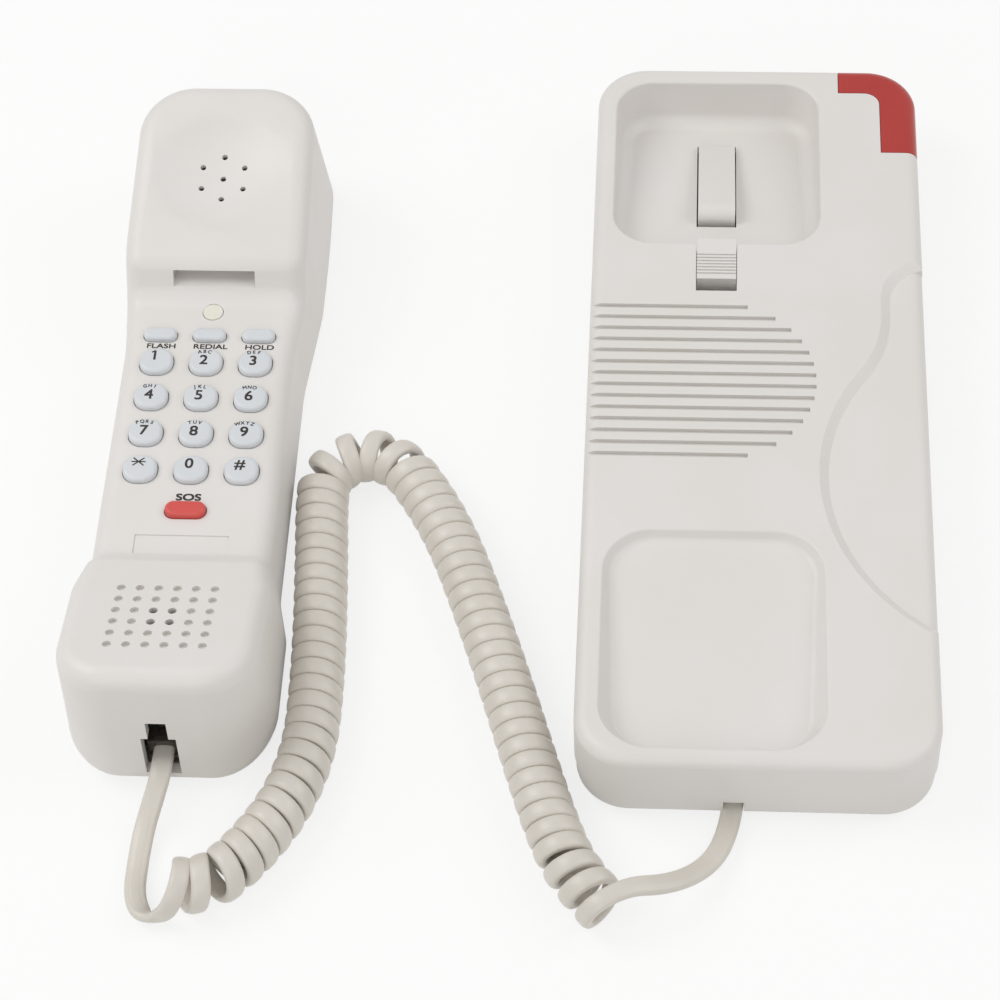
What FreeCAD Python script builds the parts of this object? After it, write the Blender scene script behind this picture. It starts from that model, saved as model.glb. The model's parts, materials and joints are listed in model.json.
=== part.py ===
import FreeCAD, Part
import math
import os
from types import SimpleNamespace

import Sketcher
from FreeCAD import Placement, Rotation, Vector

# A wall and desk telephone in two halves: a slim base with two cups and a message lamp,
# and a handset with its keypad between the ear and mouth ends, lying face up beside the base.
# The origin is the middle of the base on the desk, +Y runs to the ear end and +Z is up.
# Driving sizes are in millimetres, and those named tilt, draft, slope or angle in degrees.
SIZES = {
    # base housing
    "base_width": 84.0,
    "base_length": 220.0,
    "base_height": 24.0,
    "base_corner": 13.0,
    "base_edge": 3.2,
    "base_wall": 2.2,
    "base_roof": 4.2,
    "base_floor": 2.2,
    "split_height": 8.8,
    "lower_inset": 0.4,
    "lower_edge": 2.4,
    "foot_height": 1.5,
    "foot_radius": 5.0,
    "foot_recess": 0.6,
    "foot_side": 33.5,
    "foot_end": 99.0,
    "fit_gap": 0.15,
    "run_gap": 0.35,
    "cut_margin": 2.0,
    # cups for the ear and mouth ends
    "cup_offset": 10.3,
    "ear_cup_width": 53.2,
    "ear_cup_near": 46.8,
    "ear_cup_far": 104.0,
    "ear_cup_near_depth": 5.5,
    "ear_cup_far_depth": 14.0,
    "ear_cup_slope": 8.0,
    "ear_cup_corner": 10.0,
    "ear_cup_round": 4.0,
    "mouth_cup_width": 52.6,
    "mouth_cup_near": 106.0,
    "mouth_cup_far": 44.6,
    "mouth_cup_near_depth": 6.2,
    "mouth_cup_far_depth": 2.6,
    "mouth_cup_slope": 30.0,
    "mouth_cup_corner": 12.0,
    "mouth_cup_round": 2.0,
    "rim_round": 0.8,
    # sweeping step on the right of the base
    "step_depth": 1.8,
    "step_slope": 52.0,
    "step_top": 42.5,
    "step_side": 31.0,
    "step_bend": 13.4,
    "step_apex_x": -13.2,
    "step_apex_y": -50.8,
    "step_exit_x": 87.7,
    "step_exit_y": -94.4,
    "step_top_round": 14.0,
    "step_bend_round": 34.0,
    "step_sweep_round": 54.6,
    # sound grooves
    "groove_pitch": 3.63,
    "groove_middle": 1.5,
    "groove_width": 1.3,
    "groove_depth": 1.1,
    "groove_reach": 24.9,
    # message lamp
    "lens_left": 21.5,
    "lens_near": 79.0,
    "lens_bar_x": 32.3,
    "lens_bar_y": 100.5,
    "lens_inner_round": 4.0,
    "lens_bottom": 15.6,
    "led_x": 35.5,
    "led_y": 91.0,
    "led_radius": 2.5,
    "led_height": 7.6,
    "led_rim": 0.45,
    "led_post": 9.0,
    # hook lever, its pin, spring and switch
    "lever_width": 9.6,
    "lever_near": 60.0,
    "lever_far": 91.2,
    "lever_rise_near": 4.8,
    "lever_rise_far": 1.6,
    "lever_seat": 10.4,
    "lever_nose": 3.0,
    "pivot_y": 97.0,
    "pivot_height": 6.05,
    "pivot_hub": 2.05,
    "pin_radius": 0.9,
    "pin_gap": 0.05,
    "pin_length": 16.4,
    "ear_plate": 2.6,
    "ear_plate_half": 2.6,
    "ear_plate_top": 7.7,
    "hook_angle": 6.5,
    "spring_y": 68.0,
    "spring_radius": 2.2,
    "spring_wire": 0.6,
    "spring_turns": 5.0,
    "switch_y": 58.8,
    "switch_length": 6.4,
    "switch_width": 8.0,
    "switch_height": 1.5,
    "switch_button": 0.9,
    # hang tab
    "tab_width": 10.0,
    "tab_near": 34.2,
    "tab_far": 47.7,
    "tab_slot_near": 30.5,
    "tab_proud": 0.4,
    "tab_flange": 2.2,
    "tab_flange_height": 1.6,
    "tab_ridge_pitch": 1.05,
    "tab_ridge_width": 0.5,
    "tab_ridge_depth": 0.4,
    # base inside
    "board_left": -27.0,
    "board_right": 37.0,
    "board_half_length": 32.0,
    "board_height": 7.0,
    "board_thickness": 1.6,
    "board_inset": 4.0,
    "stake_radius": 1.4,
    "stake_foot": 3.0,
    "ringer_radius": 11.0,
    "ringer_height": 5.0,
    "ringer_x": -10.0,
    "ringer_y": 2.0,
    "ringer_hole": 1.5,
    "screw_right": 31.0,
    "screw_left": 34.0,
    "screw_near": 86.0,
    "screw_far": 66.0,
    "screw_middle": 34.0,
    "screw_post": 3.6,
    "screw_head": 2.8,
    "screw_head_height": 1.7,
    "screw_shank": 1.25,
    "screw_length": 8.0,
    "screw_seat": 2.6,
    "keyhole_spacing": 83.0,
    "keyhole_radius": 4.5,
    "keyhole_slot": 4.6,
    "keyhole_run": 7.0,
    # jacks and plugs
    "line_jack_x": 27.0,
    "line_jack_width": 12.0,
    "line_jack_depth": 13.0,
    "line_jack_height": 11.0,
    "line_mouth_width": 9.8,
    "line_mouth_height": 6.8,
    "line_mouth_depth": 10.5,
    "line_latch_width": 6.2,
    "line_latch_height": 1.6,
    "jack_wall": 1.3,
    "plug_width": 7.6,
    "plug_height": 6.0,
    "plug_length": 12.0,
    "plug_in_jack": 8.5,
    "plug_latch_width": 3.2,
    "plug_latch_height": 1.1,
    "jack_depth": 12.5,
    "jack_latch_height": 2.4,
    "cord_exit_x": -5.0,
    "well_near": 104.6,
    "well_far": 90.0,
    "well_half": 6.0,
    "well_wall": 1.5,
    "base_jack_height": 1.6,
    "notch_half": 2.4,
    "notch_top": 6.8,
    # handset outline and profile
    "handset_x": -137.2,
    "handset_front": 102.6,
    "handset_far": 92.0,
    "handset_end_half": 25.5,
    "handset_grip_half": 23.0,
    "handset_draft": 4.1,
    "far_draft": 13.5,
    "handset_wall": 2.2,
    "handset_split": 6.4,
    "front_round": 15.0,
    "far_round": 17.0,
    "mouth_neck_start": 67.0,
    "mouth_neck_end": 56.0,
    "mouth_neck_round": 14.0,
    "ear_neck_start": 10.0,
    "ear_neck_end": 36.0,
    "ear_neck_round": 60.0,
    "keypad_height": 24.5,
    "keypad_near": 55.5,
    "mouth_far": 58.5,
    "mouth_rise": 1.7,
    "mouth_tilt": 14.3,
    "mouth_round": 5.5,
    "ear_wall_foot": 24.8,
    "ear_near": 29.5,
    "ear_rise": 9.0,
    "ear_tilt": 12.6,
    "ear_round": 6.0,
    "ear_thickness": 6.4,
    "ear_hollow": 36.5,
    "back_rise_start": 58.0,
    "back_rise_angle": 9.6,
    "back_rise_round": 90.0,
    "top_edge": 4.5,
    "back_edge": 6.0,
    # ear end
    "dish_y": 55.2,
    "dish_radius": 18.0,
    "dish_depth": 4.0,
    "ear_hole_ring": 6.2,
    "ear_hole": 0.75,
    "hanger_width": 20.8,
    "hanger_low": 27.4,
    "hanger_high": 31.3,
    "hanger_depth": 33.0,
    "receiver_radius": 16.0,
    "receiver_height": 8.0,
    "receiver_ring": 1.4,
    "receiver_ring_height": 5.0,
    "gasket_height": 0.8,
    "gasket_width": 3.0,
    # mouth end
    "grille_y": 78.4,
    "grille_pitch_x": 4.4,
    "grille_pitch_y": 4.05,
    "grille_hole": 1.05,
    "grille_blind": 0.9,
    "mic_radius": 4.85,
    "mic_height": 5.0,
    "mic_boot": 1.3,
    "handset_jack_x": 0.0,
    "handset_jack_height": 7.2,
    "handset_plug_face": 100.6,
    "jack_door_width": 8.2,
    "jack_door_top": 17.6,
    "jack_door_latch_width": 4.8,
    "jack_door_latch_top": 22.6,
    "label_width": 22.8,
    "label_length": 5.6,
    "label_y": 52.4,
    "label_depth": 0.35,
    # keypad
    "key_pitch_x": 12.4,
    "key_pitch_y": 11.27,
    "key_first_y": 3.4,
    "key_width": 8.4,
    "key_length": 7.8,
    "key_corner": 3.5,
    "key_rise": 1.6,
    "key_round": 1.0,
    "key_gap": 0.2,
    "key_flange": 0.7,
    "key_flange_height": 0.9,
    "key_travel": 1.2,
    "function_y": 12.3,
    "function_length": 3.9,
    "function_corner": 1.9,
    "call_y": 42.4,
    "call_width": 10.0,
    "call_length": 4.6,
    "call_corner": 2.2,
    "window_y": 20.3,
    "window_radius": 2.5,
    "window_proud": 0.2,
    "window_rim": 0.8,
    "window_rim_height": 0.8,
    "dome_radius": 2.6,
    "dome_gap": 0.3,
    "dome_height": 0.7,
    "membrane_thickness": 0.8,
    "keypad_board_thickness": 1.6,
    "keypad_board_half": 18.6,
    "keypad_board_far": 23.0,
    "keypad_board_near": 50.5,
    "keypad_post_x": 16.4,
    "keypad_post_far": 18.4,
    "keypad_post_near": 47.8,
    "keypad_post_radius": 1.7,
    "handset_screw_far": 78.0,
    "handset_screw_near": 82.0,
    "handset_screw_x": 15.0,
    # cord between the handset and the base
    "wire": 3.8,
    "coil_outside": 13.2,
    "coil_pitch": 4.55,
    "coil_gap": 0.75,
    "coil_end_pitch": 7.0,
    "coil_lift": 0.15,
    "cord_lead": 6.4,
    "cord_break": 0.25,
}

# The coil's middle line on the desk, chosen by hand: beside the handset, round a fold and back.
COIL_ROUTE = [
    (-132.6, -139.4), (-123.6, -134.6), (-115.4, -125.2), (-108.9, -112.6), (-104.5, -97.6),
    (-103.9, -80.0), (-104.7, -60.0), (-105.9, -40.0), (-106.9, -25.0), (-106.9, -13.6),
    (-98.8, -6.6), (-88.2, -8.4), (-81.2, -20.0), (-73.6, -37.0), (-66.0, -57.5),
    (-58.6, -79.5), (-51.9, -101.0), (-45.9, -119.0), (-40.8, -130.5), (-34.0, -138.6),
]
# The two plain ends of the cord, chosen by hand: points of their middle line between their straight ends.
HANDSET_TAIL = [(-138.6, -112.6, 7.4), (-140.6, -118.6, 3.8), (-141.4, -124.8, 2.1)]
BASE_TAIL = [(-19.0, -130.4, 8.4), (-13.4, -126.0, 4.6), (-9.4, -120.6, 2.5), (-6.6, -114.2, 2.4),
             (-5.0, -107.0, 3.4)]

# Steps per curl when the gap between curls is measured.
GAP_STEPS = 16
DIGITS = ("one", "two", "three", "four", "five", "six", "seven", "eight", "nine", "star", "zero", "hash")
FUNCTIONS = ("flash", "redial", "hold")
GROOVES = 14
TAB_RIDGES = 7
GRILLE_ROWS = 6
EAR_HOLES = 6

doc = FreeCAD.newDocument("Telephone")
sheet = doc.addObject("Spreadsheet::Sheet", "Sizes")
for row, (alias, number) in enumerate(SIZES.items(), start=1):
    sheet.set(f"A{row}", alias.replace("_", " "))
    sheet.set(f"B{row}", str(number))
    sheet.setAlias(f"B{row}", alias)
doc.recompute()


class Size:
    """A length that knows its value and the sheet expression which gives it."""

    def __init__(self, value, text):
        self.value = value
        self.text = text

    def joined(self, other, sign, value, swapped=False):
        texts = (self.text, other.text if isinstance(other, Size) else repr(float(other)))
        first, second = reversed(texts) if swapped else texts
        return Size(value, f"({first} {sign} {second})")

    def __add__(self, other):
        return self.joined(other, "+", self.value + float(other))

    def __sub__(self, other):
        return self.joined(other, "-", self.value - float(other))

    def __mul__(self, other):
        return self.joined(other, "*", self.value * float(other))

    def __truediv__(self, other):
        return self.joined(other, "/", self.value / float(other))

    def __radd__(self, other):
        return self.joined(other, "+", float(other) + self.value, swapped=True)

    def __rsub__(self, other):
        return self.joined(other, "-", float(other) - self.value, swapped=True)

    def __rmul__(self, other):
        return self.joined(other, "*", float(other) * self.value, swapped=True)

    def __neg__(self):
        return Size(-self.value, f"(0 - {self.text})")

    def __float__(self):
        return self.value

    def root(self):
        return Size(math.sqrt(self.value), f"sqrt({self.text})")


# s holds the sizes with their expressions, v their plain values.
s = SimpleNamespace(**{alias: Size(float(sheet.get(alias)), f"Sizes.{alias}") for alias in SIZES})
v = SimpleNamespace(**{alias: float(sheet.get(alias)) for alias in SIZES})
pieces = []


def bind(obj, **links):
    """Bind properties to sheet expressions; a double underscore stands for a dot."""
    for name, size in links.items():
        text = size.text if isinstance(size, Size) else repr(float(size))
        obj.setExpression(name.replace("__", "."), text)


def place(obj, x=0, y=0, z=0):
    bind(obj, Placement__Base__x=x, Placement__Base__y=y, Placement__Base__z=z)
    return obj


def box(name, x, y, z):
    """A box between the given pairs of limits."""
    made = doc.addObject("Part::Box", name)
    bind(made, Length=x[1] - x[0], Width=y[1] - y[0], Height=z[1] - z[0])
    return place(made, x[0], y[0], z[0])


def cylinder(name, radius, x, y, z):
    """An upright cylinder between two heights."""
    made = doc.addObject("Part::Cylinder", name)
    bind(made, Radius=radius, Height=z[1] - z[0])
    return place(made, x, y, z[0])


def fuse(name, *parts):
    made = doc.addObject("Part::MultiFuse", name)
    made.Shapes = list(parts)
    return made


def cut(name, base, *tools):
    made = doc.addObject("Part::Cut", name)
    made.Base = base
    made.Tool = tools[0] if len(tools) == 1 else fuse(f"{name}_tools", *tools)
    return made


def common(name, first, second):
    made = doc.addObject("Part::Common", name)
    made.Base = first
    made.Tool = second
    return made


def group(name, parts):
    """Separate solids kept as one object."""
    made = doc.addObject("Part::Compound", name)
    made.Links = list(parts)
    return made


def shaped(name, shape, placement=None):
    """A feature whose shape is worked out below from the sheet's sizes."""
    made = doc.addObject("Part::Feature", name)
    made.Shape = shape
    if placement is not None:
        made.Placement = placement
    return made


def piece(obj, label):
    """Register a finished sub-part under the name of its file."""
    obj.Label = label
    pieces.append(obj)
    return obj


def rounded_sketch(body, name, width, length, corner, lift):
    """A rounded rectangle about the body's origin, on a level plane at the given height."""
    sketch = body.newObject("Sketcher::SketchObject", name)
    plane = next(feature for feature in body.Origin.OriginFeatures if feature.Role == "XY_Plane")
    sketch.AttachmentSupport = [(plane, "")]
    sketch.MapMode = "FlatFace"
    bind(sketch, AttachmentOffset__Base__z=lift)
    a, b, r = float(width) / 2, float(length) / 2, float(corner)
    up = Vector(0, 0, 1)
    sides = [((r - a, -b), (a - r, -b)), ((a, r - b), (a, b - r)), ((a - r, b), (r - a, b)),
             ((-a, b - r), (-a, r - b))]
    for start, end in sides:
        sketch.addGeometry(Part.LineSegment(Vector(*start, 0), Vector(*end, 0)))
    centres = [(a - r, r - b), (a - r, b - r), (r - a, b - r), (r - a, r - b)]
    for quarter, centre in enumerate(centres):
        start = (quarter - 1) * math.pi / 2
        circle = Part.Circle(Vector(*centre, 0), up, r)
        sketch.addGeometry(Part.ArcOfCircle(circle, start, start + math.pi / 2))
    rule = Sketcher.Constraint
    for side in range(4):
        arc, following = 4 + side, (side + 1) % 4
        sketch.addConstraint(rule("Tangent", side, 2, arc, 1))
        sketch.addConstraint(rule("Tangent", arc, 2, following, 1))
        sketch.addConstraint(rule("Horizontal" if side % 2 == 0 else "Vertical", side))
    for arc in (5, 6):
        sketch.addConstraint(rule("Equal", 4, arc))
    sketch.addConstraint(rule("Symmetric", 4, 3, 6, 3, -1, 1))
    for name, first, second in (("across", 3, 1), ("along", 0, 2)):
        kind = "DistanceX" if name == "across" else "DistanceY"
        index = sketch.addConstraint(rule(kind, first, 1, second, 1, 2 * (a if name == "across" else b)))
        sketch.renameConstraint(index, name)
    index = sketch.addConstraint(rule("Radius", 4, r))
    sketch.renameConstraint(index, "corner")
    bind(sketch, Constraints__across=width, Constraints__along=length, Constraints__corner=corner)
    return sketch


def rim_names(shape, height):
    """Names of the edges that lie at one height."""
    near = 1e-4
    found = []
    for index, edge in enumerate(shape.Edges, start=1):
        if abs(edge.BoundBox.ZMin - height) < near and abs(edge.BoundBox.ZMax - height) < near:
            found.append(f"Edge{index}")
    return found


def rounded_pad(name, width, length, corner, z, rim=None, rim_height=None, flange=None):
    """A padded rounded rectangle, with an optional wider flange under it and one rounded rim."""
    body = doc.addObject("PartDesign::Body", name)
    if flange is not None:
        wider, thickness = flange
        foot = rounded_sketch(body, f"{name}_flange", width + wider * 2, length + wider * 2, corner + wider,
                              z[0])
        ring = body.newObject("PartDesign::Pad", f"{name}_flange_pad")
        ring.Profile = foot
        bind(ring, Length=thickness)
    sketch = rounded_sketch(body, f"{name}_outline", width, length, corner, z[0])
    pad = body.newObject("PartDesign::Pad", f"{name}_pad")
    pad.Profile = sketch
    bind(pad, Length=z[1] - z[0])
    doc.recompute()
    if rim is not None:
        soften = body.newObject("PartDesign::Fillet", f"{name}_rim")
        soften.Base = (pad, rim_names(pad.Shape, float(rim_height)))
        bind(soften, Radius=rim)
    doc.recompute()
    return body


def rounded_wire(corners):
    """A closed wire through (point, radius) corners, each rounded by a tangent arc."""
    edges = []
    spans = []
    for index, (point, radius) in enumerate(corners):
        back = (corners[index - 1][0] - point).normalize()
        ahead = (corners[(index + 1) % len(corners)][0] - point).normalize()
        half = math.acos(max(-1.0, min(1.0, back.dot(ahead)))) / 2
        if radius <= 0:
            spans.append((point, point, None))
            continue
        reach = radius / math.tan(half)
        middle = point + (back + ahead).normalize() * (radius / math.sin(half) - radius)
        spans.append((point + back * reach, point + ahead * reach, middle))
    for index, (start, end, middle) in enumerate(spans):
        if middle is not None:
            edges.append(Part.Arc(start, middle, end).toShape())
        following = spans[(index + 1) % len(spans)][0]
        if (following - end).Length > 1e-6:
            edges.append(Part.makeLine(end, following))
    return Part.Wire(edges)


def inset(corners, depth, last=None):
    """Corners of a counter-clockwise outline moved inwards, rounds following.

    last, where given, is the depth of the side that starts at the outline's middle corner.
    """
    count = len(corners)
    depths = [depth] * count
    if last is not None:
        depths[count // 2 - 1] = last
    moved = []
    for index, (point, radius) in enumerate(corners):
        along = (point - corners[index - 1][0]).normalize()
        ahead = (corners[(index + 1) % count][0] - point).normalize()
        first, second = Vector(-along.y, along.x, 0), Vector(-ahead.y, ahead.x, 0)
        before, after = depths[index - 1], depths[index]
        lean = first.dot(second)
        shift = first * (before - lean * after) + second * (after - lean * before)
        outward = along.x * ahead.y - along.y * ahead.x > 0
        kept = 0 if radius <= 0 else radius - depth if outward else radius + depth
        moved.append((point + shift * (1 / (1 - lean * lean)), kept))
    return moved


def tapered(corners, levels):
    """A solid between two levels of (height, inset, inset of the far side)."""
    wires = []
    for height, depth, far_depth in levels:
        outline = inset(corners, depth, far_depth)
        wires.append(rounded_wire([(Vector(point.x, point.y, height), radius) for point, radius in outline]))
    return Part.makeLoft(wires, True, True)


def extruded(points, width, x=0):
    """A solid of a Y and Z profile of (y, z, radius) corners, centred on x."""
    corners = [(Vector(0, y, z), radius) for y, z, radius in points]
    solid = Part.Face(rounded_wire(corners)).extrude(Vector(width, 0, 0))
    solid.translate(Vector(x - width / 2, 0, 0))
    return solid


def rectangle(x, y, corner):
    """Counter-clockwise corners of a rounded rectangle between the given limits."""
    return [(Vector(x[i], y[j], 0), corner) for i, j in ((0, 0), (1, 0), (1, 1), (0, 1))]


def degrees_tan(angle):
    return math.tan(math.radians(angle))


def ear_floor(y):
    """Height of the ear cup's sloping floor."""
    far = v.ear_cup_far - v.ear_cup_far_depth * degrees_tan(v.ear_cup_slope)
    near = v.ear_cup_near + v.ear_cup_near_depth * degrees_tan(v.ear_cup_slope)
    share = (far - y) / (far - near)
    return v.base_height - v.ear_cup_far_depth + share * (v.ear_cup_far_depth - v.ear_cup_near_depth)


def cup_tool(y, depths, width, slope, corner, floor_round, grow):
    """The space of a cup: sloping walls, a tilted floor and a round between them.

    grow adds a wall's thickness all round, for the skin that the cup leaves inside the base.
    """
    outline = inset(rectangle((-v.cup_offset - width / 2, -v.cup_offset + width / 2), y, corner), -grow)
    low = v.base_height - max(depths) - grow - v.cut_margin
    high = v.base_height + v.cut_margin
    lean = degrees_tan(slope)
    prism = tapered(outline, [(height, (v.base_height - height) * lean, None) for height in (low, high)])
    edge = [near + sign * depth * lean for near, sign, depth in zip(y, (1, -1), depths)]
    fall = (depths[1] - depths[0]) / (edge[1] - edge[0])
    ends = [(end, v.base_height - depths[0] - grow - fall * (end - edge[0]))
            for end in (y[0] - 30, y[1] + 30)]
    over = extruded([(*ends[0], 0), (*ends[1], 0), (ends[1][0], high + 1, 0), (ends[0][0], high + 1, 0)], 200)
    space = prism.common(over).Solids[0]
    if floor_round == 0:
        return space
    floor = min(space.Faces, key=lambda face: face.CenterOfMass.z)
    return space.makeFillet(floor_round, floor.Edges)


def ear_cup(grow=0):
    return cup_tool((v.ear_cup_near, v.ear_cup_far), (v.ear_cup_near_depth, v.ear_cup_far_depth),
                    v.ear_cup_width,
                    v.ear_cup_slope, v.ear_cup_corner, 0 if grow else v.ear_cup_round, grow)


def mouth_cup(grow=0):
    return cup_tool((-v.mouth_cup_near, -v.mouth_cup_far), (v.mouth_cup_near_depth, v.mouth_cup_far_depth),
                    v.mouth_cup_width, v.mouth_cup_slope, v.mouth_cup_corner,
                    0 if grow else v.mouth_cup_round, grow)


def step_tool():
    """The space over the low ground right of the sweeping step, with its sloping bank."""
    outline = [
        (Vector(v.step_exit_x, v.step_top, 0), 0),
        (Vector(v.step_side, v.step_top, 0), v.step_top_round),
        (Vector(v.step_side, v.step_bend, 0), v.step_bend_round),
        (Vector(v.step_apex_x, v.step_apex_y, 0), v.step_sweep_round),
        (Vector(v.step_exit_x, v.step_exit_y, 0), 0),
    ]
    lean = degrees_tan(v.step_slope)
    low = v.base_height - v.step_depth
    bank = tapered(outline,
                   [(low, v.step_depth * lean, None),
                    (v.base_height + v.rim_round, -v.rim_round * lean, None)])
    ground = min(bank.Faces, key=lambda face: face.CenterOfMass.z)
    return bank.fuse(ground.extrude(Vector(0, 0, -v.base_edge)))


def lens_outline(gap):
    """The corner angle that the message lamp takes, drawn back by gap from the cover."""
    far = v.base_length
    corners = [
        (v.lens_left + gap, far, 0),
        (v.lens_left + gap, v.lens_bar_y + gap, 0),
        (v.lens_bar_x + gap, v.lens_bar_y + gap, v.lens_inner_round + gap),
        (v.lens_bar_x + gap, v.lens_near + gap, 0),
        (far, v.lens_near + gap, 0),
        (far, far, 0),
    ]
    return [(Vector(x, y, 0), radius) for x, y, radius in corners]


def lens_block(name, gap):
    face = Part.Face(rounded_wire([(p + Vector(0, 0, v.lens_bottom + gap), r) for p, r in lens_outline(gap)]))
    return shaped(name, face.extrude(Vector(0, 0, v.base_height)))


SCREWS = [(s.screw_right, -s.screw_near), (s.screw_right, s.screw_far),
          (-s.screw_left, -s.screw_middle), (-s.screw_left, s.screw_middle)]


def base_covers():
    """Top cover with cups, step, grooves and openings, bottom cover, feet, lens and screws."""
    floor_top = s.foot_height + s.base_floor
    post_split = s.split_height - s.base_floor
    form = rounded_pad("cover_form", s.base_width, s.base_length, s.base_corner,
                       (s.split_height, s.base_height),
                       s.base_edge, s.base_height)
    room = rounded_pad("cover_room", s.base_width - s.base_wall * 2, s.base_length - s.base_wall * 2,
                       s.base_corner - s.base_wall,
                       (s.split_height - s.cut_margin, s.base_height - s.base_roof))
    skins = [shaped("ear_cup_skin", ear_cup(v.base_wall)), shaped("mouth_cup_skin", mouth_cup(v.base_wall))]
    hollow = cut("cover_hollow", room, *skins)
    cups = [shaped("ear_cup", ear_cup()), shaped("mouth_cup", mouth_cup())]
    shell = cut("cover_shell", cut("cover_walls", form, hollow), *cups)
    doc.recompute()
    rims = doc.addObject("Part::Fillet", "cover_rims")
    rims.Base = shell
    rims.Edges = [(index, v.rim_round, v.rim_round) for index in cup_rims(shell.Shape)]
    posts = [cylinder(f"cover_post_{n}", s.screw_post, x, y,
                      (post_split, s.base_height - s.base_roof + s.fit_gap))
             for n, (x, y) in enumerate(SCREWS)]
    solid = fuse("cover_with_posts", rims, *posts)
    pilots = [cylinder(f"cover_pilot_{n}", s.screw_shank + s.pin_gap, x, y,
                       (post_split - s.cut_margin, post_split + s.screw_length))
                       for n, (x, y) in enumerate(SCREWS)]
    lever = (-s.cup_offset - s.lever_width / 2 - s.run_gap, -s.cup_offset + s.lever_width / 2 + s.run_gap)
    lever_slot = box("lever_slot", lever, (s.lever_near - s.run_gap * 4, s.lever_far + s.run_gap * 3),
                     (0, s.base_height - s.ear_cup_near_depth + s.cut_margin))
    tab = (-s.cup_offset - s.tab_width / 2 - s.fit_gap, -s.cup_offset + s.tab_width / 2 + s.fit_gap)
    tab_slot = box("tab_slot", tab, (s.tab_slot_near, s.ear_cup_near + s.cut_margin),
                   (s.base_height - s.base_roof - s.fit_gap, s.base_height + s.cut_margin))
    low_form = rounded_pad("cover_low_form", s.base_width, s.base_length, s.base_corner,
                           (s.split_height - s.cut_margin, s.base_height - s.step_depth), s.base_edge,
                           s.base_height - s.step_depth)
    step = cut("step_space", shaped("step_ground", step_tool()), low_form)
    openings = [step, lens_block("lens_opening", 0), lever_slot, tab_slot,
                line_jack_opening("line_jack_upper")]
    cover = cut("cover_open", solid, group("cover_pilots", pilots), group("sound_grooves", groove_tools()),
                *openings)
    piece(cover, "base_top_cover")
    lens = cut("lens_hollow", common("lens_form", form, lens_block("lens_block", v.fit_gap)), room)
    piece(lens, "message_lamp_lens")
    bottom_cover(floor_top, post_split)


def cup_rims(shape):
    """Numbers of the edges where the cups meet the base's level top."""
    found = []
    half = v.base_width / 2 - v.base_edge
    for index, edge in enumerate(shape.Edges, start=1):
        limits = edge.BoundBox
        if limits.ZMin < v.base_height - 1e-3 or limits.ZMax > v.base_height + 1e-3:
            continue
        inside = limits.XMin > -half + 1e-3 and limits.XMax < half - 1e-3
        if inside and abs(limits.YMin) < v.base_length / 2 - v.base_edge - 1e-3:
            found.append(index)
    return found


def groove_tools():
    """Sound grooves that run in from the left edge and end on one arc."""
    tools = []
    for n in range(GROOVES):
        offset = (n - (GROOVES - 1) / 2) * s.groove_pitch
        reach = (s.groove_reach * s.groove_reach - offset * offset).root()
        middle = s.groove_middle + offset
        tools.append(box(f"groove_{n}", (-s.base_width / 2 - s.cut_margin, reach - s.cup_offset),
                         (middle - s.groove_width / 2, middle + s.groove_width / 2),
                         (s.base_height - s.groove_depth, s.base_height + s.cut_margin)))
    return tools


def line_jack_opening(name):
    half = s.line_jack_width / 2 + s.fit_gap
    low = s.foot_height + s.base_floor
    return box(name, (s.line_jack_x - half, s.line_jack_x + half),
               (s.base_length / 2 - s.base_wall - s.cut_margin, s.base_length / 2 + s.cut_margin),
               (low, low + s.line_jack_height + s.fit_gap))


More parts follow.
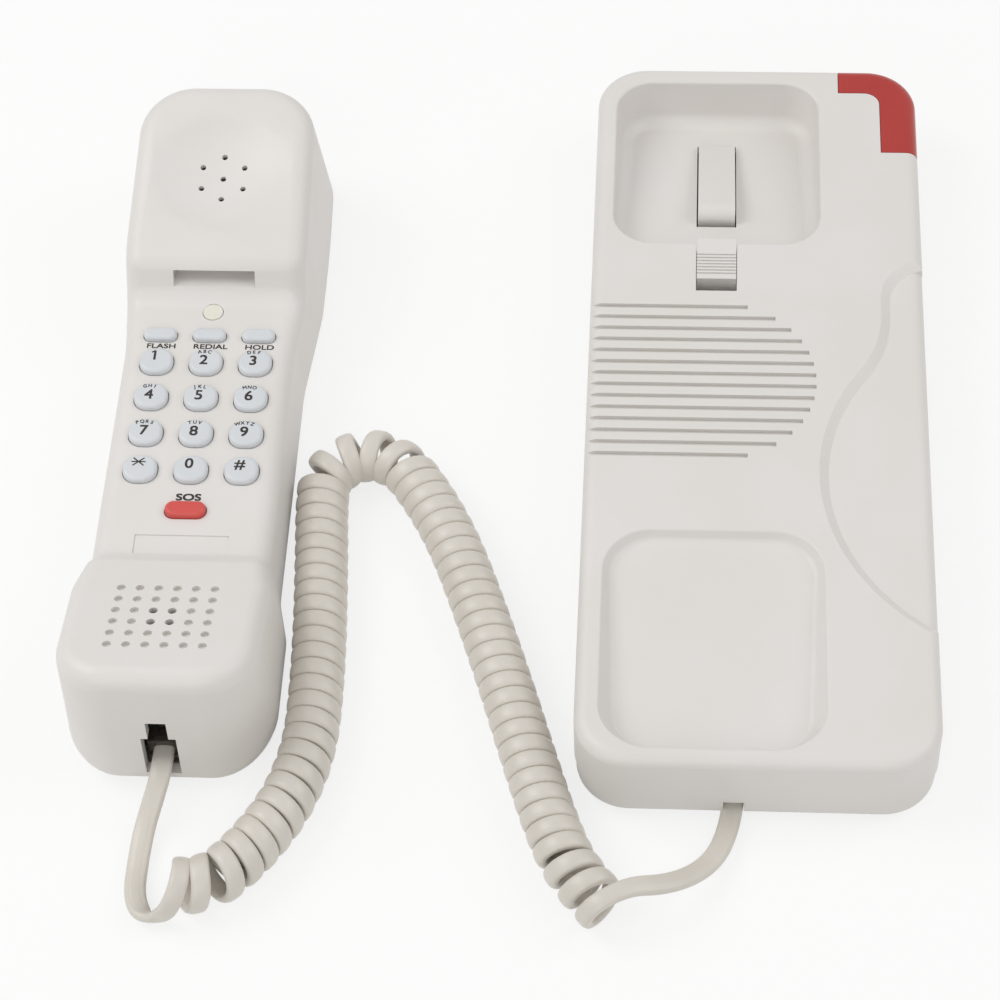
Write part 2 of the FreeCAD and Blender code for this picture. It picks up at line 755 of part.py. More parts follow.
def bottom_cover(floor_top, post_split):
    """The tray under the base with its bosses, posts, lever ears, cord well and keyholes."""
    width, length = s.base_width - s.lower_inset * 2, s.base_length - s.lower_inset * 2
    corner = s.base_corner - s.lower_inset
    wall = s.base_wall - s.lower_inset
    tray = rounded_pad("tray_form", width, length, corner, (s.foot_height, s.split_height), s.lower_edge,
                       s.foot_height)
    room = rounded_pad("tray_room", width - wall * 2, length - wall * 2, corner - wall,
                       (floor_top, s.split_height + s.cut_margin))
    low = s.foot_height
    bosses = [cylinder(f"tray_boss_{n}", s.screw_post, x, y, (low + s.lower_edge, post_split))
              for n, (x, y) in enumerate(SCREWS)]
    stakes = []
    for n, (x, y) in enumerate(board_corners()):
        stakes.append(cylinder(f"stake_foot_{n}", s.stake_foot, x, y, (low + s.fit_gap, s.board_height)))
        stakes.append(cylinder(f"stake_{n}", s.stake_radius, x, y,
                               (low + s.fit_gap, s.board_height + s.board_thickness * 1.5)))
    led_post = cylinder("led_post", s.led_radius + s.led_rim, s.led_x, s.led_y, (low + s.fit_gap, s.led_post))
    ears = []
    for n, side in enumerate((-1, 1)):
        inner = s.lever_width / 2 + s.run_gap
        edges = (-s.cup_offset + side * inner, -s.cup_offset + side * (inner + s.ear_plate))
        x = edges if side > 0 else (edges[1], edges[0])
        ears.append(box(f"lever_ear_{n}", x, (s.pivot_y - s.ear_plate_half, s.pivot_y + s.ear_plate_half),
                        (low + s.fit_gap, s.ear_plate_top)))
    well_x = (s.cord_exit_x - s.well_half, s.cord_exit_x + s.well_half)
    jack_height = s.plug_height + s.jack_latch_height + s.jack_wall * 2 + s.fit_gap * 2
    well_roof = s.base_jack_height + jack_height + s.fit_gap * 2
    block = box("well_block", (well_x[0] - s.well_wall, well_x[1] + s.well_wall),
                (-s.well_near - s.well_wall, -s.well_far + s.well_wall), (low, well_roof + s.well_wall))
    solid = fuse("tray_solid", cut("tray_shell", tray, room), *bosses, *stakes, led_post, *ears, block)
    below = low - s.cut_margin
    holes = [cylinder(f"screw_hole_{n}", s.screw_shank + s.fit_gap, x, y, (below, post_split + s.cut_margin))
             for n, (x, y) in enumerate(SCREWS)]
    seats = [cylinder(f"screw_seat_{n}", s.screw_head + s.fit_gap, x, y, (below, low + s.screw_seat))
             for n, (x, y) in enumerate(SCREWS)]
    recesses = [cylinder(f"foot_recess_{n}", s.foot_radius + s.fit_gap, x, y, (below, low + s.foot_recess))
                for n, (x, y) in enumerate(foot_places())]
    keyholes = []
    for n, side in enumerate((-1, 1)):
        y = s.keyhole_spacing * side / 2
        keyholes.append(cylinder(f"keyhole_{n}", s.keyhole_radius, 0, y, (below, floor_top + s.cut_margin)))
        keyholes.append(box(f"keyhole_run_{n}", (-s.keyhole_slot / 2, s.keyhole_slot / 2),
                            (y, y + s.keyhole_radius + s.keyhole_run), (below, floor_top + s.cut_margin)))
    well = box("well", well_x, (-s.well_near, -s.well_far), (below, well_roof))
    jack_half = s.plug_height / 2 + s.jack_wall + s.fit_gap
    jack_bed = box("jack_bed",
                   (s.cord_exit_x - jack_half - s.jack_wall, s.cord_exit_x + jack_half + s.jack_wall),
                   (-s.well_far, -s.well_far + s.jack_depth + s.fit_gap), (below, well_roof))
    notch = box("cord_notch", (s.cord_exit_x - s.notch_half, s.cord_exit_x + s.notch_half),
                (-s.base_length / 2 - s.cut_margin, -s.well_near + s.fit_gap), (below, s.notch_top))
    bore = doc.addObject("Part::Cylinder", "lever_ear_bore")
    bind(bore, Radius=s.pin_radius + s.pin_gap / 2, Height=s.pin_length + s.cut_margin * 2)
    bore.Placement.Rotation = Rotation(Vector(0, 1, 0), 90)
    place(bore, -s.cup_offset - s.pin_length / 2 - s.cut_margin, s.pivot_y, s.pivot_height)
    cover = cut("tray_open", solid, *holes, *seats, *recesses, *keyholes, well, jack_bed, notch, bore,
                line_jack_opening("line_jack_lower"))
    piece(cover, "base_bottom_cover")
    feet = [cylinder(f"foot_{n}", s.foot_radius, x, y, (0, low + s.foot_recess - s.fit_gap))
            for n, (x, y) in enumerate(foot_places())]
    piece(group("feet", feet), "rubber_feet")
    seat = low + s.screw_seat
    screws = []
    for n, (x, y) in enumerate(SCREWS):
        head = cylinder(f"screw_head_{n}", s.screw_head, x, y, (seat - s.screw_head_height, seat))
        shank = cylinder(f"screw_shank_{n}", s.screw_shank, x, y, (seat - s.pin_gap, seat + s.screw_length))
        screws.append(fuse(f"screw_{n}", head, shank))
    piece(group("screws", screws), "base_screws")


def foot_places():
    return [(s.foot_side * i, s.foot_end * j) for i in (-1, 1) for j in (-1, 1)]


def board_corners():
    return [(x, (s.board_half_length - s.board_inset) * j)
            for x in (s.board_left + s.board_inset, s.board_right - s.board_inset) for j in (-1, 1)]


def base_inside():
    """Main board, ringer, lamp and the line jack."""
    top = s.board_height + s.board_thickness
    plate = box("board_plate", (s.board_left, s.board_right), (-s.board_half_length, s.board_half_length),
                (s.board_height, top))
    holes = [cylinder(f"board_hole_{n}", s.stake_radius + s.pin_gap, x, y,
                      (s.board_height - s.cut_margin, top + s.cut_margin))
             for n, (x, y) in enumerate(board_corners())]
    piece(cut("board", plate, group("board_holes", holes)), "base_circuit_board")
    case = cylinder("ringer_case", s.ringer_radius, s.ringer_x, s.ringer_y, (top, top + s.ringer_height))
    hole = cylinder("ringer_hole", s.ringer_hole, s.ringer_x, s.ringer_y,
                    (top + s.ringer_height / 2, top + s.ringer_height + s.cut_margin))
    piece(cut("ringer", case, hole), "ringer_buzzer")
    rim = cylinder("led_rim", s.led_radius + s.led_rim, s.led_x, s.led_y,
                   (s.led_post, s.led_post + s.led_rim * 2))
    stem = cylinder("led_stem", s.led_radius, s.led_x, s.led_y,
                    (s.led_post, s.led_post + s.led_height - s.led_radius))
    dome = doc.addObject("Part::Sphere", "led_dome")
    bind(dome, Radius=s.led_radius)
    place(dome, s.led_x, s.led_y, s.led_post + s.led_height - s.led_radius)
    piece(fuse("led", rim, stem, dome), "message_lamp_led")
    half = s.line_jack_width / 2
    low = s.foot_height + s.base_floor
    back = s.base_length / 2 - s.lower_inset
    shell = box("line_jack_shell", (s.line_jack_x - half, s.line_jack_x + half),
                (back - s.line_jack_depth, back),
                (low, low + s.line_jack_height))
    mouth_low = low + s.jack_wall * 2
    mouth = box("line_jack_mouth",
                (s.line_jack_x - s.line_mouth_width / 2, s.line_jack_x + s.line_mouth_width / 2),
                (back - s.line_mouth_depth, back + s.cut_margin),
                (mouth_low, mouth_low + s.line_mouth_height))
    latch = box("line_jack_latch",
                (s.line_jack_x - s.line_latch_width / 2, s.line_jack_x + s.line_latch_width / 2),
                (back - s.line_mouth_depth, back + s.cut_margin),
                (mouth_low - s.line_latch_height, mouth_low))
    piece(cut("line_jack_body", shell, mouth, latch), "line_jack")


def hook_parts():
    """The sprung lever in the ear cup, its pin, spring and switch, and the sliding hang tab."""
    x = -v.cup_offset
    near, far, pivot = v.lever_near, v.lever_far, v.pivot_y
    low, hub = v.pivot_height - v.pivot_hub, v.pivot_height + v.pivot_hub
    underside = ear_floor(far) - v.base_wall - v.run_gap
    profile = [
        (pivot, low, 0),
        (pivot, hub, 0),
        (far, min(hub + v.run_gap, underside), 0),
        (far, ear_floor(far) + v.lever_rise_far, 1.0),
        (near, ear_floor(near) + v.lever_rise_near, v.lever_nose),
        (near, v.lever_seat, 0.5),
        (v.spring_y + v.spring_radius * 2, v.lever_seat, 3.0),
        (far - v.pivot_hub, low + v.run_gap * 2, 6.0),
    ]
    bar = extruded(profile, v.lever_width, x)
    half = v.lever_width / 2
    axle = Vector(x - half, pivot, v.pivot_height)
    barrel = Part.makeCylinder(v.pivot_hub, v.lever_width, axle, Vector(1, 0, 0))
    bore = Part.makeCylinder(v.pin_radius + v.pin_gap, v.lever_width + 2 * v.cut_margin,
                             axle - Vector(v.cut_margin, 0, 0), Vector(1, 0, 0))
    piece(shaped("lever", bar.fuse(barrel).cut(bore).removeSplitter()), "hook_lever")
    pin = doc.addObject("Part::Cylinder", "pin")
    bind(pin, Radius=s.pin_radius, Height=s.pin_length)
    pin.Placement.Rotation = Rotation(Vector(0, 1, 0), 90)
    place(pin, -s.cup_offset - s.pin_length / 2, s.pivot_y, s.pivot_height)
    piece(pin, "hook_lever_pin")
    piece(shaped("spring", hook_spring()), "hook_spring")
    floor_top = s.foot_height + s.base_floor
    body = box("switch_body", (-s.cup_offset - s.switch_width / 2, -s.cup_offset + s.switch_width / 2),
               (s.switch_y - s.switch_length / 2, s.switch_y + s.switch_length / 2),
               (floor_top, floor_top + s.switch_height))
    button = cylinder("switch_button", s.switch_button, -s.cup_offset, s.lever_near + s.lever_nose / 2,
                      (floor_top, floor_top + s.switch_height + s.switch_button))
    piece(fuse("switch", body, button), "hook_switch")
    hang_tab()


def hook_spring():
    """A compression spring between the tray and the lever, its wire kept inside both faces."""
    low = v.foot_height + v.base_floor + v.spring_wire / 2 + v.pin_gap
    high = v.lever_seat - v.spring_wire / 2 - v.pin_gap
    centre = Vector(-v.cup_offset, v.spring_y, 0)
    quarters = int(v.spring_turns * 4)
    nodes = []
    for n in range(quarters + 1):
        turn = n * math.pi / 2
        rise = (high - low) / quarters
        point = centre + Vector(v.spring_radius * math.cos(turn), v.spring_radius * math.sin(turn),
                                low + rise * n)
        slope = rise / (math.pi / 2)
        nodes.append((point,
                      Vector(-v.spring_radius * math.sin(turn), v.spring_radius * math.cos(turn),
                             slope).normalize()))
    return wire_tube(biarc_wire(nodes), v.spring_wire)


def hang_tab():
    """The little hook that holds the handset on a wall: a ridged slider in the cover's slot."""
    half = s.tab_width / 2
    x = (-s.cup_offset - half, -s.cup_offset + half)
    under = s.base_height - s.base_roof
    top = s.base_height + s.tab_proud
    block = box("tab_block", x, (s.tab_near, s.tab_far), (under, top))
    far = s.ear_cup_near - s.base_wall - s.run_gap * 2
    flange_top = under - s.fit_gap
    flange = box("tab_flange", (x[0] - s.tab_flange, x[1] + s.tab_flange), (s.tab_near, far),
                 (flange_top - s.tab_flange_height, flange_top))
    neck = box("tab_neck", x, (s.tab_near, far), (flange_top - s.fit_gap, under + s.fit_gap))
    ridges = []
    for n in range(TAB_RIDGES):
        y = s.tab_near + s.tab_ridge_pitch * (n + 1.5)
        ridges.append(box(f"tab_ridge_{n}", (x[0] - s.cut_margin, x[1] + s.cut_margin),
                          (y, y + s.tab_ridge_width),
                          (top - s.tab_ridge_depth, top + s.cut_margin)))
    piece(cut("tab", fuse("tab_solid", block, flange, neck), group("tab_ridges", ridges)), "hang_tab")


def plug_solid(x, face, low, inwards):
    """A small modular plug with its latch, from its cord face along Y into its jack."""
    half = v.plug_width / 2
    tip = face + inwards * v.plug_length
    y = sorted((face, tip))
    body = Part.makeBox(2 * half, v.plug_length, v.plug_height, Vector(x - half, y[0], low))
    top = low + v.plug_height
    latch_half = v.plug_latch_width / 2
    gap = v.plug_latch_height / 2
    reach = v.plug_length * 0.7
    start = tip if inwards < 0 else tip - reach
    latch = Part.makeBox(2 * latch_half, reach, v.plug_latch_height, Vector(x - latch_half, start, top + gap))
    root = Part.makeBox(2 * latch_half, gap * 2, gap * 2,
                        Vector(x - latch_half, tip - (0 if inwards < 0 else gap * 2), top - gap / 2))
    return body.fuse([latch, root]).removeSplitter()


def jack_solid(x, face, low, inwards):
    """A modular jack open at its face along Y, with room for a plug and its latch."""
    half = v.plug_width / 2 + v.fit_gap
    wall = v.jack_wall
    height = v.plug_height + v.jack_latch_height + 2 * wall + 2 * v.fit_gap
    near = min(face, face + inwards * v.jack_depth)
    shell = Part.makeBox(2 * (half + wall), v.jack_depth, height,
                         Vector(x - half - wall, near, low - wall - v.fit_gap))
    deep = v.plug_in_jack + v.fit_gap
    start = face - v.cut_margin if inwards > 0 else face - deep
    mouth = Part.makeBox(2 * half, deep + v.cut_margin, v.plug_height + 2 * v.fit_gap,
                         Vector(x - half, start, low - v.fit_gap))
    latch_half = v.plug_latch_width / 2 + v.run_gap
    latch = Part.makeBox(2 * latch_half, deep + v.cut_margin, v.jack_latch_height + v.fit_gap,
                         Vector(x - latch_half, start, low + v.plug_height))
    return shell.cut([mouth, latch])


def base_cord_fittings():
    """Jack in the cord well and the plug in it."""
    low = v.base_jack_height + v.jack_wall + v.fit_gap
    jack_face = -v.well_far
    piece(shaped("base_jack", jack_solid(v.cord_exit_x, jack_face, low, 1)), "base_cord_jack")
    plug_face = jack_face - (v.plug_length - v.plug_in_jack)
    piece(shaped("base_plug", plug_solid(v.cord_exit_x, plug_face, low, 1)), "base_cord_plug")
    return Vector(v.cord_exit_x, plug_face, low + v.plug_height / 2)


def handset_outline():
    """Corners of the handset in plan at the desk, counter-clockwise from the front right."""
    right = [
        (v.handset_end_half, -v.handset_front, v.front_round),
        (v.handset_end_half, -v.mouth_neck_start, v.mouth_neck_round),
        (v.handset_grip_half, -v.mouth_neck_end, v.mouth_neck_round),
        (v.handset_grip_half, v.ear_neck_start, v.ear_neck_round),
        (v.handset_end_half, v.ear_neck_end, v.ear_neck_round),
        (v.handset_end_half, v.handset_far, v.far_round),
    ]
    left = [(-x, y, radius) for x, y, radius in reversed(right)]
    return [(Vector(x, y, 0), radius) for x, y, radius in right + left]


def face_height(y, end):
    """Height of the tilted mouth or ear face."""
    if end == "mouth":
        return v.keypad_height + v.mouth_rise + (-v.mouth_far - y) * degrees_tan(v.mouth_tilt)
    return v.keypad_height + v.ear_rise + (y - v.ear_near) * degrees_tan(v.ear_tilt)


def side_profile(wall):
    """Corners of the handset's side view; with a wall, those of its hollow."""
    past = v.cut_margin
    front, far = -v.handset_front - past, v.handset_far + past
    mouth_wall = wall / math.cos(math.radians(v.mouth_tilt))
    ear_wall = (v.ear_thickness if wall else 0) / math.cos(math.radians(v.ear_tilt))
    foot, crest = (v.ear_hollow, v.ear_hollow + wall) if wall else (v.ear_wall_foot, v.ear_near)
    back_far = (far - v.back_rise_start) * degrees_tan(v.back_rise_angle)
    return [
        (front, face_height(front, "mouth") - mouth_wall, 0),
        (front, wall, 0),
        (v.back_rise_start, wall, v.back_rise_round),
        (far, back_far + wall, 0),
        (far, face_height(far, "ear") - ear_wall, 0),
        (crest, face_height(crest, "ear") - ear_wall, 0 if wall else v.ear_round),
        (foot, v.keypad_height - wall, 0 if wall else v.ear_round),
        (-v.keypad_near, v.keypad_height - wall, 0 if wall else v.mouth_round),
        (-v.mouth_far, face_height(-v.mouth_far, "mouth") - mouth_wall, 0 if wall else v.mouth_round),
    ]


def handset_solid(wall):
    """The handset's outer form, or with a wall the hollow inside it."""
    low, high = -v.cut_margin, 3 * v.keypad_height
    lean = degrees_tan(v.handset_draft)
    far = degrees_tan(v.far_draft)
    walls = tapered(inset(handset_outline(), wall), [(z, z * lean, z * far) for z in (low, high)])
    profile = extruded(side_profile(wall), 4 * v.handset_end_half)
    solid = profile.common(walls).Solids[0]
    if wall:
        return solid
    crown, keel = [], []
    for edge in solid.Edges:
        flat = [level_across(face) for face in solid.ancestorsOfType(edge, Part.Face)]
        if len(flat) == 2 and flat[0] != flat[1]:
            (crown if edge.CenterOfMass.z > v.keypad_height / 2 else keel).append(edge)
    softened = solid.makeFillet(v.top_edge, crown)
    marks = [edge.CenterOfMass for edge in keel]
    keel = [edge for edge in softened.Edges if any((edge.CenterOfMass - mark).Length < 1e-3
                                                   for mark in marks)]
    return softened.makeFillet(v.back_edge, keel)


def level_across(face):
    """Whether a face belongs to the side view, so that its normal has no X part and looks up or down."""
    u0, u1, v0, v1 = face.ParameterRange
    normal = face.normalAt((u0 + u1) / 2, (v0 + v1) / 2)
    return abs(normal.x) < 1e-7 and abs(normal.z) > 0.35


def face_frame(y, end):
    """A frame on the middle of the mouth or ear face, Z out of the face."""
    tilt = -v.mouth_tilt if end == "mouth" else v.ear_tilt
    return Placement(Vector(0, y, face_height(y, end)), Rotation(Vector(1, 0, 0), tilt))


def on_face(shape, y, end):
    shape.Placement = face_frame(y, end).multiply(shape.Placement)
    return shape


def beside(obj):
    """Set a handset piece, drawn about its own middle line, beside the base."""
    bind(obj, Placement__Base__x=s.handset_x)
    return obj


def ear_tools():
    """The dished ear face and its sound holes."""
    ball = (v.dish_radius ** 2 + v.dish_depth ** 2) / (2 * v.dish_depth)
    dish = Part.makeSphere(ball, Vector(0, 0, ball - v.dish_depth))
    holes = []
    for n in range(EAR_HOLES + 1):
        angle = n * 2 * math.pi / EAR_HOLES
        ring = v.ear_hole_ring if n < EAR_HOLES else 0
        foot = Vector(ring * math.sin(angle), ring * math.cos(angle), -2 * v.ear_thickness)
        holes.append(Part.makeCylinder(v.ear_hole, 2 * v.ear_thickness, foot))
    return on_face(dish, v.dish_y, "ear"), on_face(Part.makeCompound(holes), v.dish_y, "ear")


def grille_holes():
    """Six rows of six dimples on the mouth face, of which the middle four go through."""
    holes = []
    middle = (GRILLE_ROWS - 1) / 2
    for i in range(GRILLE_ROWS):
        for j in range(GRILLE_ROWS):
            through = abs(i - middle) < 1 and abs(j - middle) < 1
            deep = 2 * v.handset_wall if through else v.grille_blind
            foot = Vector((i - middle) * v.grille_pitch_x, (j - middle) * v.grille_pitch_y, -deep)
            holes.append(Part.makeCylinder(v.grille_hole, deep + v.cut_margin, foot))
    return on_face(Part.makeCompound(holes), -v.grille_y, "mouth")


def handset_shells():
    """Front and back shells of the handset and the screws that join them."""
    form = shaped("handset_form", handset_solid(0))
    hollow = shaped("handset_hollow", handset_solid(v.handset_wall))
    wide = (-s.handset_end_half * 2, s.handset_end_half * 2)
    long = (-s.handset_front * 2, s.handset_far * 2)
    upper = box("handset_upper", wide, long, (s.handset_split, s.keypad_height * 3))
    lower = box("handset_lower", wide, long, (-s.cut_margin, s.handset_split))
    front = cut("front_shell", common("front_form", form, upper), hollow)
    back = cut("back_shell", common("back_form", form, lower), hollow)
    under = s.keypad_height - s.handset_wall
    board_top = key_levels()["board_top"]
    posts = []
    for n, (x, y) in enumerate(keypad_posts()):
        posts.append(cylinder(f"keypad_post_{n}", s.keypad_post_radius, x, y, (board_top, under + s.fit_gap)))
    ring = Part.makeCylinder(v.receiver_radius + v.fit_gap + v.receiver_ring,
                             v.receiver_ring_height + v.fit_gap)
    ring = ring.cut(Part.makeCylinder(v.receiver_radius + v.fit_gap, v.receiver_ring_height + v.fit_gap))
    ring.translate(Vector(0, 0, -v.ear_thickness - v.receiver_ring_height))
    sleeves = []
    for n, (x, y) in enumerate(handset_screws()):
        top = face_height(float(y), "ear" if float(y) > 0 else "mouth") - v.ear_thickness
        sleeves.append(cylinder(f"sleeve_{n}", s.screw_post, x, y, (s.handset_split, top)))
    solid = fuse("front_solid", front, *posts, *sleeves,
                 shaped("receiver_ring", on_face(ring, v.dish_y, "ear")))
    dish, ear_holes = ear_tools()
    label = box("label_recess", (-s.label_width / 2, s.label_width / 2),
                (-s.label_y - s.label_length / 2, -s.label_y + s.label_length / 2),
                (s.keypad_height - s.label_depth, s.keypad_height + s.cut_margin))
    hanger = box("hanger_slot", (-s.hanger_width / 2, s.hanger_width / 2), (s.ear_neck_start, s.hanger_depth),
                 (s.hanger_low, s.hanger_high))
    door = box("jack_door",
               (s.handset_jack_x - s.jack_door_width / 2, s.handset_jack_x + s.jack_door_width / 2),
               (-s.handset_front - s.cut_margin, -s.handset_front + s.handset_wall * 3),
               (s.handset_split, s.jack_door_top))
    latch = box("jack_door_latch",
                (s.handset_jack_x - s.jack_door_latch_width / 2,
                 s.handset_jack_x + s.jack_door_latch_width / 2),
                (-s.handset_front - s.cut_margin, -s.handset_front + s.handset_wall * 3),
                (s.handset_split, s.jack_door_latch_top))
    keys = key_openings()
    pilots = [cylinder(f"sleeve_pilot_{n}", s.screw_shank + s.pin_gap, x, y,
                       (0, s.handset_split + s.screw_length))
              for n, (x, y) in enumerate(handset_screws())]
    dished = cut("front_dished", solid, shaped("ear_dish", dish))
    opened = cut("front_open", dished, group("key_openings", keys), shaped("ear_holes", ear_holes),
                 shaped("grille_holes", grille_holes()), label, hanger, door, latch,
                 group("sleeve_pilots", pilots))
    piece(beside(opened), "handset_front_shell")
    back_shell(back)


def keypad_posts():
    return [(s.keypad_post_x * i, y) for i in (-1, 1) for y in (s.keypad_post_far, -s.keypad_post_near)]


def handset_screws():
    return [(0 * s.handset_screw_x, s.handset_screw_far), (s.handset_screw_x, -s.handset_screw_near),
            (-s.handset_screw_x, -s.handset_screw_near)]


def back_shell(back):
    """The shallow back with its screw bosses and the pedestal under the jack."""
    low = {}
    bosses, holes, seats, screws = [], [], [], []
    for n, (x, y) in enumerate(handset_screws()):
        rise = max(0.0, (float(y) - v.back_rise_start) * degrees_tan(v.back_rise_angle))
        low[n] = s.handset_wall + rise
        bosses.append(cylinder(f"back_boss_{n}", s.screw_post, x, y, (low[n] - s.fit_gap, s.handset_split)))
        holes.append(cylinder(f"back_hole_{n}", s.screw_shank + s.fit_gap, x, y,
                              (-s.cut_margin, s.handset_split + s.cut_margin)))
        seat = low[n]
        seats.append(cylinder(f"back_seat_{n}", s.screw_head + s.fit_gap, x, y, (-s.cut_margin, seat)))
        head = cylinder(f"handset_screw_head_{n}", s.screw_head, x, y, (seat - s.screw_head_height, seat))
        shank = cylinder(f"handset_screw_shank_{n}", s.screw_shank, x, y,
                         (seat - s.pin_gap, seat + s.screw_length))
        screws.append(fuse(f"handset_screw_{n}", head, shank))
    jack_low = s.handset_jack_height - s.jack_wall - s.fit_gap
    half = s.plug_width / 2
    rest = box("jack_rest", (s.handset_jack_x - half, s.handset_jack_x + half), handset_jack_span(),
               (s.handset_wall / 2, jack_low))
    solid = fuse("back_solid", back, *bosses, rest)
    opened = cut("back_open", solid, *holes, *seats)
    piece(beside(opened), "handset_back_shell")
    piece(beside(group("handset_screw_set", screws)), "handset_screws")


def handset_jack_span():
    face = -s.handset_plug_face + (s.plug_length - s.plug_in_jack)
    return (face, face + s.jack_depth)


def handset_inside():
    """Receiver, microphone, jack and plug of the handset."""
    gasket = Part.makeCylinder(v.receiver_radius - v.fit_gap, v.gasket_height,
                               Vector(0, 0, -v.ear_thickness - v.gasket_height))
    gasket = gasket.cut(Part.makeCylinder(v.receiver_radius - v.gasket_width, 3 * v.gasket_height,
                                          Vector(0, 0, -v.ear_thickness - 2 * v.gasket_height)))
    piece(beside(shaped("gasket", on_face(gasket, v.dish_y, "ear"))), "receiver_gasket")
    under = -v.ear_thickness - v.gasket_height
    capsule = Part.makeCylinder(v.receiver_radius, v.receiver_height / 2,
                                Vector(0, 0, under - v.receiver_height / 2))
    magnet = Part.makeCylinder(v.receiver_radius / 2, v.receiver_height,
                               Vector(0, 0, under - v.receiver_height))
    port = Part.makeCylinder(v.ear_hole * 2, v.gasket_height, Vector(0, 0, under - v.gasket_height))
    solid = capsule.fuse(magnet).cut(port).removeSplitter()
    piece(beside(shaped("capsule", on_face(solid, v.dish_y, "ear"))), "receiver_capsule")
    roof = -v.handset_wall
    outer = Part.makeCylinder(v.mic_radius + v.mic_boot, v.mic_height, Vector(0, 0, roof - v.mic_height))
    inner = Part.makeCylinder(v.mic_radius + v.pin_gap, v.mic_height,
                              Vector(0, 0, roof - v.mic_height - v.mic_boot))
    hole = Part.makeCylinder(v.mic_radius / 2, 2 * v.mic_height,
                             Vector(0, 0, roof - 2 * v.mic_height + v.fit_gap))
    boot = outer.cut(inner).cut(hole)
    piece(beside(shaped("boot", on_face(boot, -v.grille_y, "mouth"))), "microphone_boot")
    can = Part.makeCylinder(v.mic_radius, v.mic_height,
                            Vector(0, 0, roof - v.mic_height - v.mic_boot - v.pin_gap))
    port = Part.makeCylinder(v.mic_radius / 4, v.mic_boot, Vector(0, 0, roof - 2 * v.mic_boot))
    piece(beside(shaped("microphone", on_face(can.cut(port), -v.grille_y, "mouth"))), "microphone_capsule")
    face = float(handset_jack_span()[0])
    low = v.handset_jack_height
    piece(beside(shaped("handset_jack", jack_solid(v.handset_jack_x, face, low, 1))), "handset_cord_jack")
    plug = plug_solid(v.handset_jack_x, -v.handset_plug_face, low, 1)
    piece(beside(shaped("handset_plug", plug)), "handset_cord_plug")
    return Vector(v.handset_x + v.handset_jack_x, -v.handset_plug_face, low + v.plug_height / 2)


def key_levels():
    """Heights of the keypad's layers under the keypad face."""
    flange_top = s.keypad_height - s.handset_wall - s.fit_gap
    flange_low = flange_top - s.key_flange_height
    dome_top = flange_low - s.key_travel - s.dome_gap
    membrane_top = dome_top - s.dome_height
    board_top = membrane_top - s.membrane_thickness
    return {"flange_low": flange_low, "dome_top": dome_top, "membrane_top": membrane_top,
            "board_top": board_top}


def key_places():
    """Name, x, y, width, length and corner radius of each key, left to right and far to near."""
    places = []
    for n, name in enumerate(FUNCTIONS):
        places.append((f"key_{name}", (n - 1) * s.key_pitch_x, s.function_y, s.key_width, s.function_length,
                       s.function_corner))
    for n, name in enumerate(DIGITS):
        places.append((f"key_{name}", (n % 3 - 1) * s.key_pitch_x, s.key_first_y - (n // 3) * s.key_pitch_y,
                       s.key_width, s.key_length, s.key_corner))
    places.append(("key_call", 0 * s.key_pitch_x, -s.call_y, s.call_width, s.call_length, s.call_corner))
    return places


def key_openings():
    """Openings for the keys and the indicator window."""
    tools = []
    top = s.keypad_height + s.cut_margin
    low = s.keypad_height - s.handset_wall - s.cut_margin
    for name, x, y, width, length, corner in key_places():
        hole = rounded_pad(f"{name}_opening", width + s.key_gap * 2, length + s.key_gap * 2,
                           corner + s.key_gap, (low, top))
        tools.append(place(hole, x, y))
    tools.append(cylinder("window_opening", s.window_radius + s.fit_gap, 0, s.window_y, (low, top)))
    return tools


def keypad():
    """Keys, their membrane and board, and the indicator window."""
    levels = key_levels()
    top = s.keypad_height + s.key_rise
    for name, x, y, width, length, corner in key_places():
        key = rounded_pad(name, width, length, corner, (levels["flange_low"], top), s.key_round, top,
                          (s.key_flange, s.key_flange_height))
        piece(place(key, s.handset_x + x, y), name)
    reach = s.key_pitch_x + s.key_width / 2 + s.key_flange
    far = s.function_y + s.function_length / 2 + s.key_flange
    near = -s.call_y - s.call_length / 2 - s.key_flange
    sheet_slab = box("membrane_sheet", (-reach, reach), (near, far),
                     (levels["board_top"], levels["membrane_top"]))
    domes = []
    for name, x, y, width, length, corner in key_places():
        radius = s.dome_radius if float(length) > 2 * v.dome_radius else length / 2
        domes.append(cylinder(f"{name}_dome", radius, x, y, (levels["board_top"], levels["dome_top"])))
    piece(beside(fuse("membrane", sheet_slab, *domes)), "keypad_membrane")
    board = box("keypad_plate", (-s.keypad_board_half, s.keypad_board_half),
                (-s.keypad_board_near, s.keypad_board_far),
                (levels["board_top"] - s.keypad_board_thickness, levels["board_top"]))
    piece(place(board, s.handset_x - s.keypad_board_half, -s.keypad_board_near,
                levels["board_top"] - s.keypad_board_thickness), "keypad_board")
    under = s.keypad_height - s.handset_wall - s.fit_gap
    stem = cylinder("window_stem", s.window_radius, 0, s.window_y, (under, s.keypad_height + s.window_proud))
    rim = cylinder("window_rim", s.window_radius + s.window_rim, 0, s.window_y,
                   (under - s.window_rim_height, under))
    piece(beside(fuse("window", stem, rim)), "indicator_window")


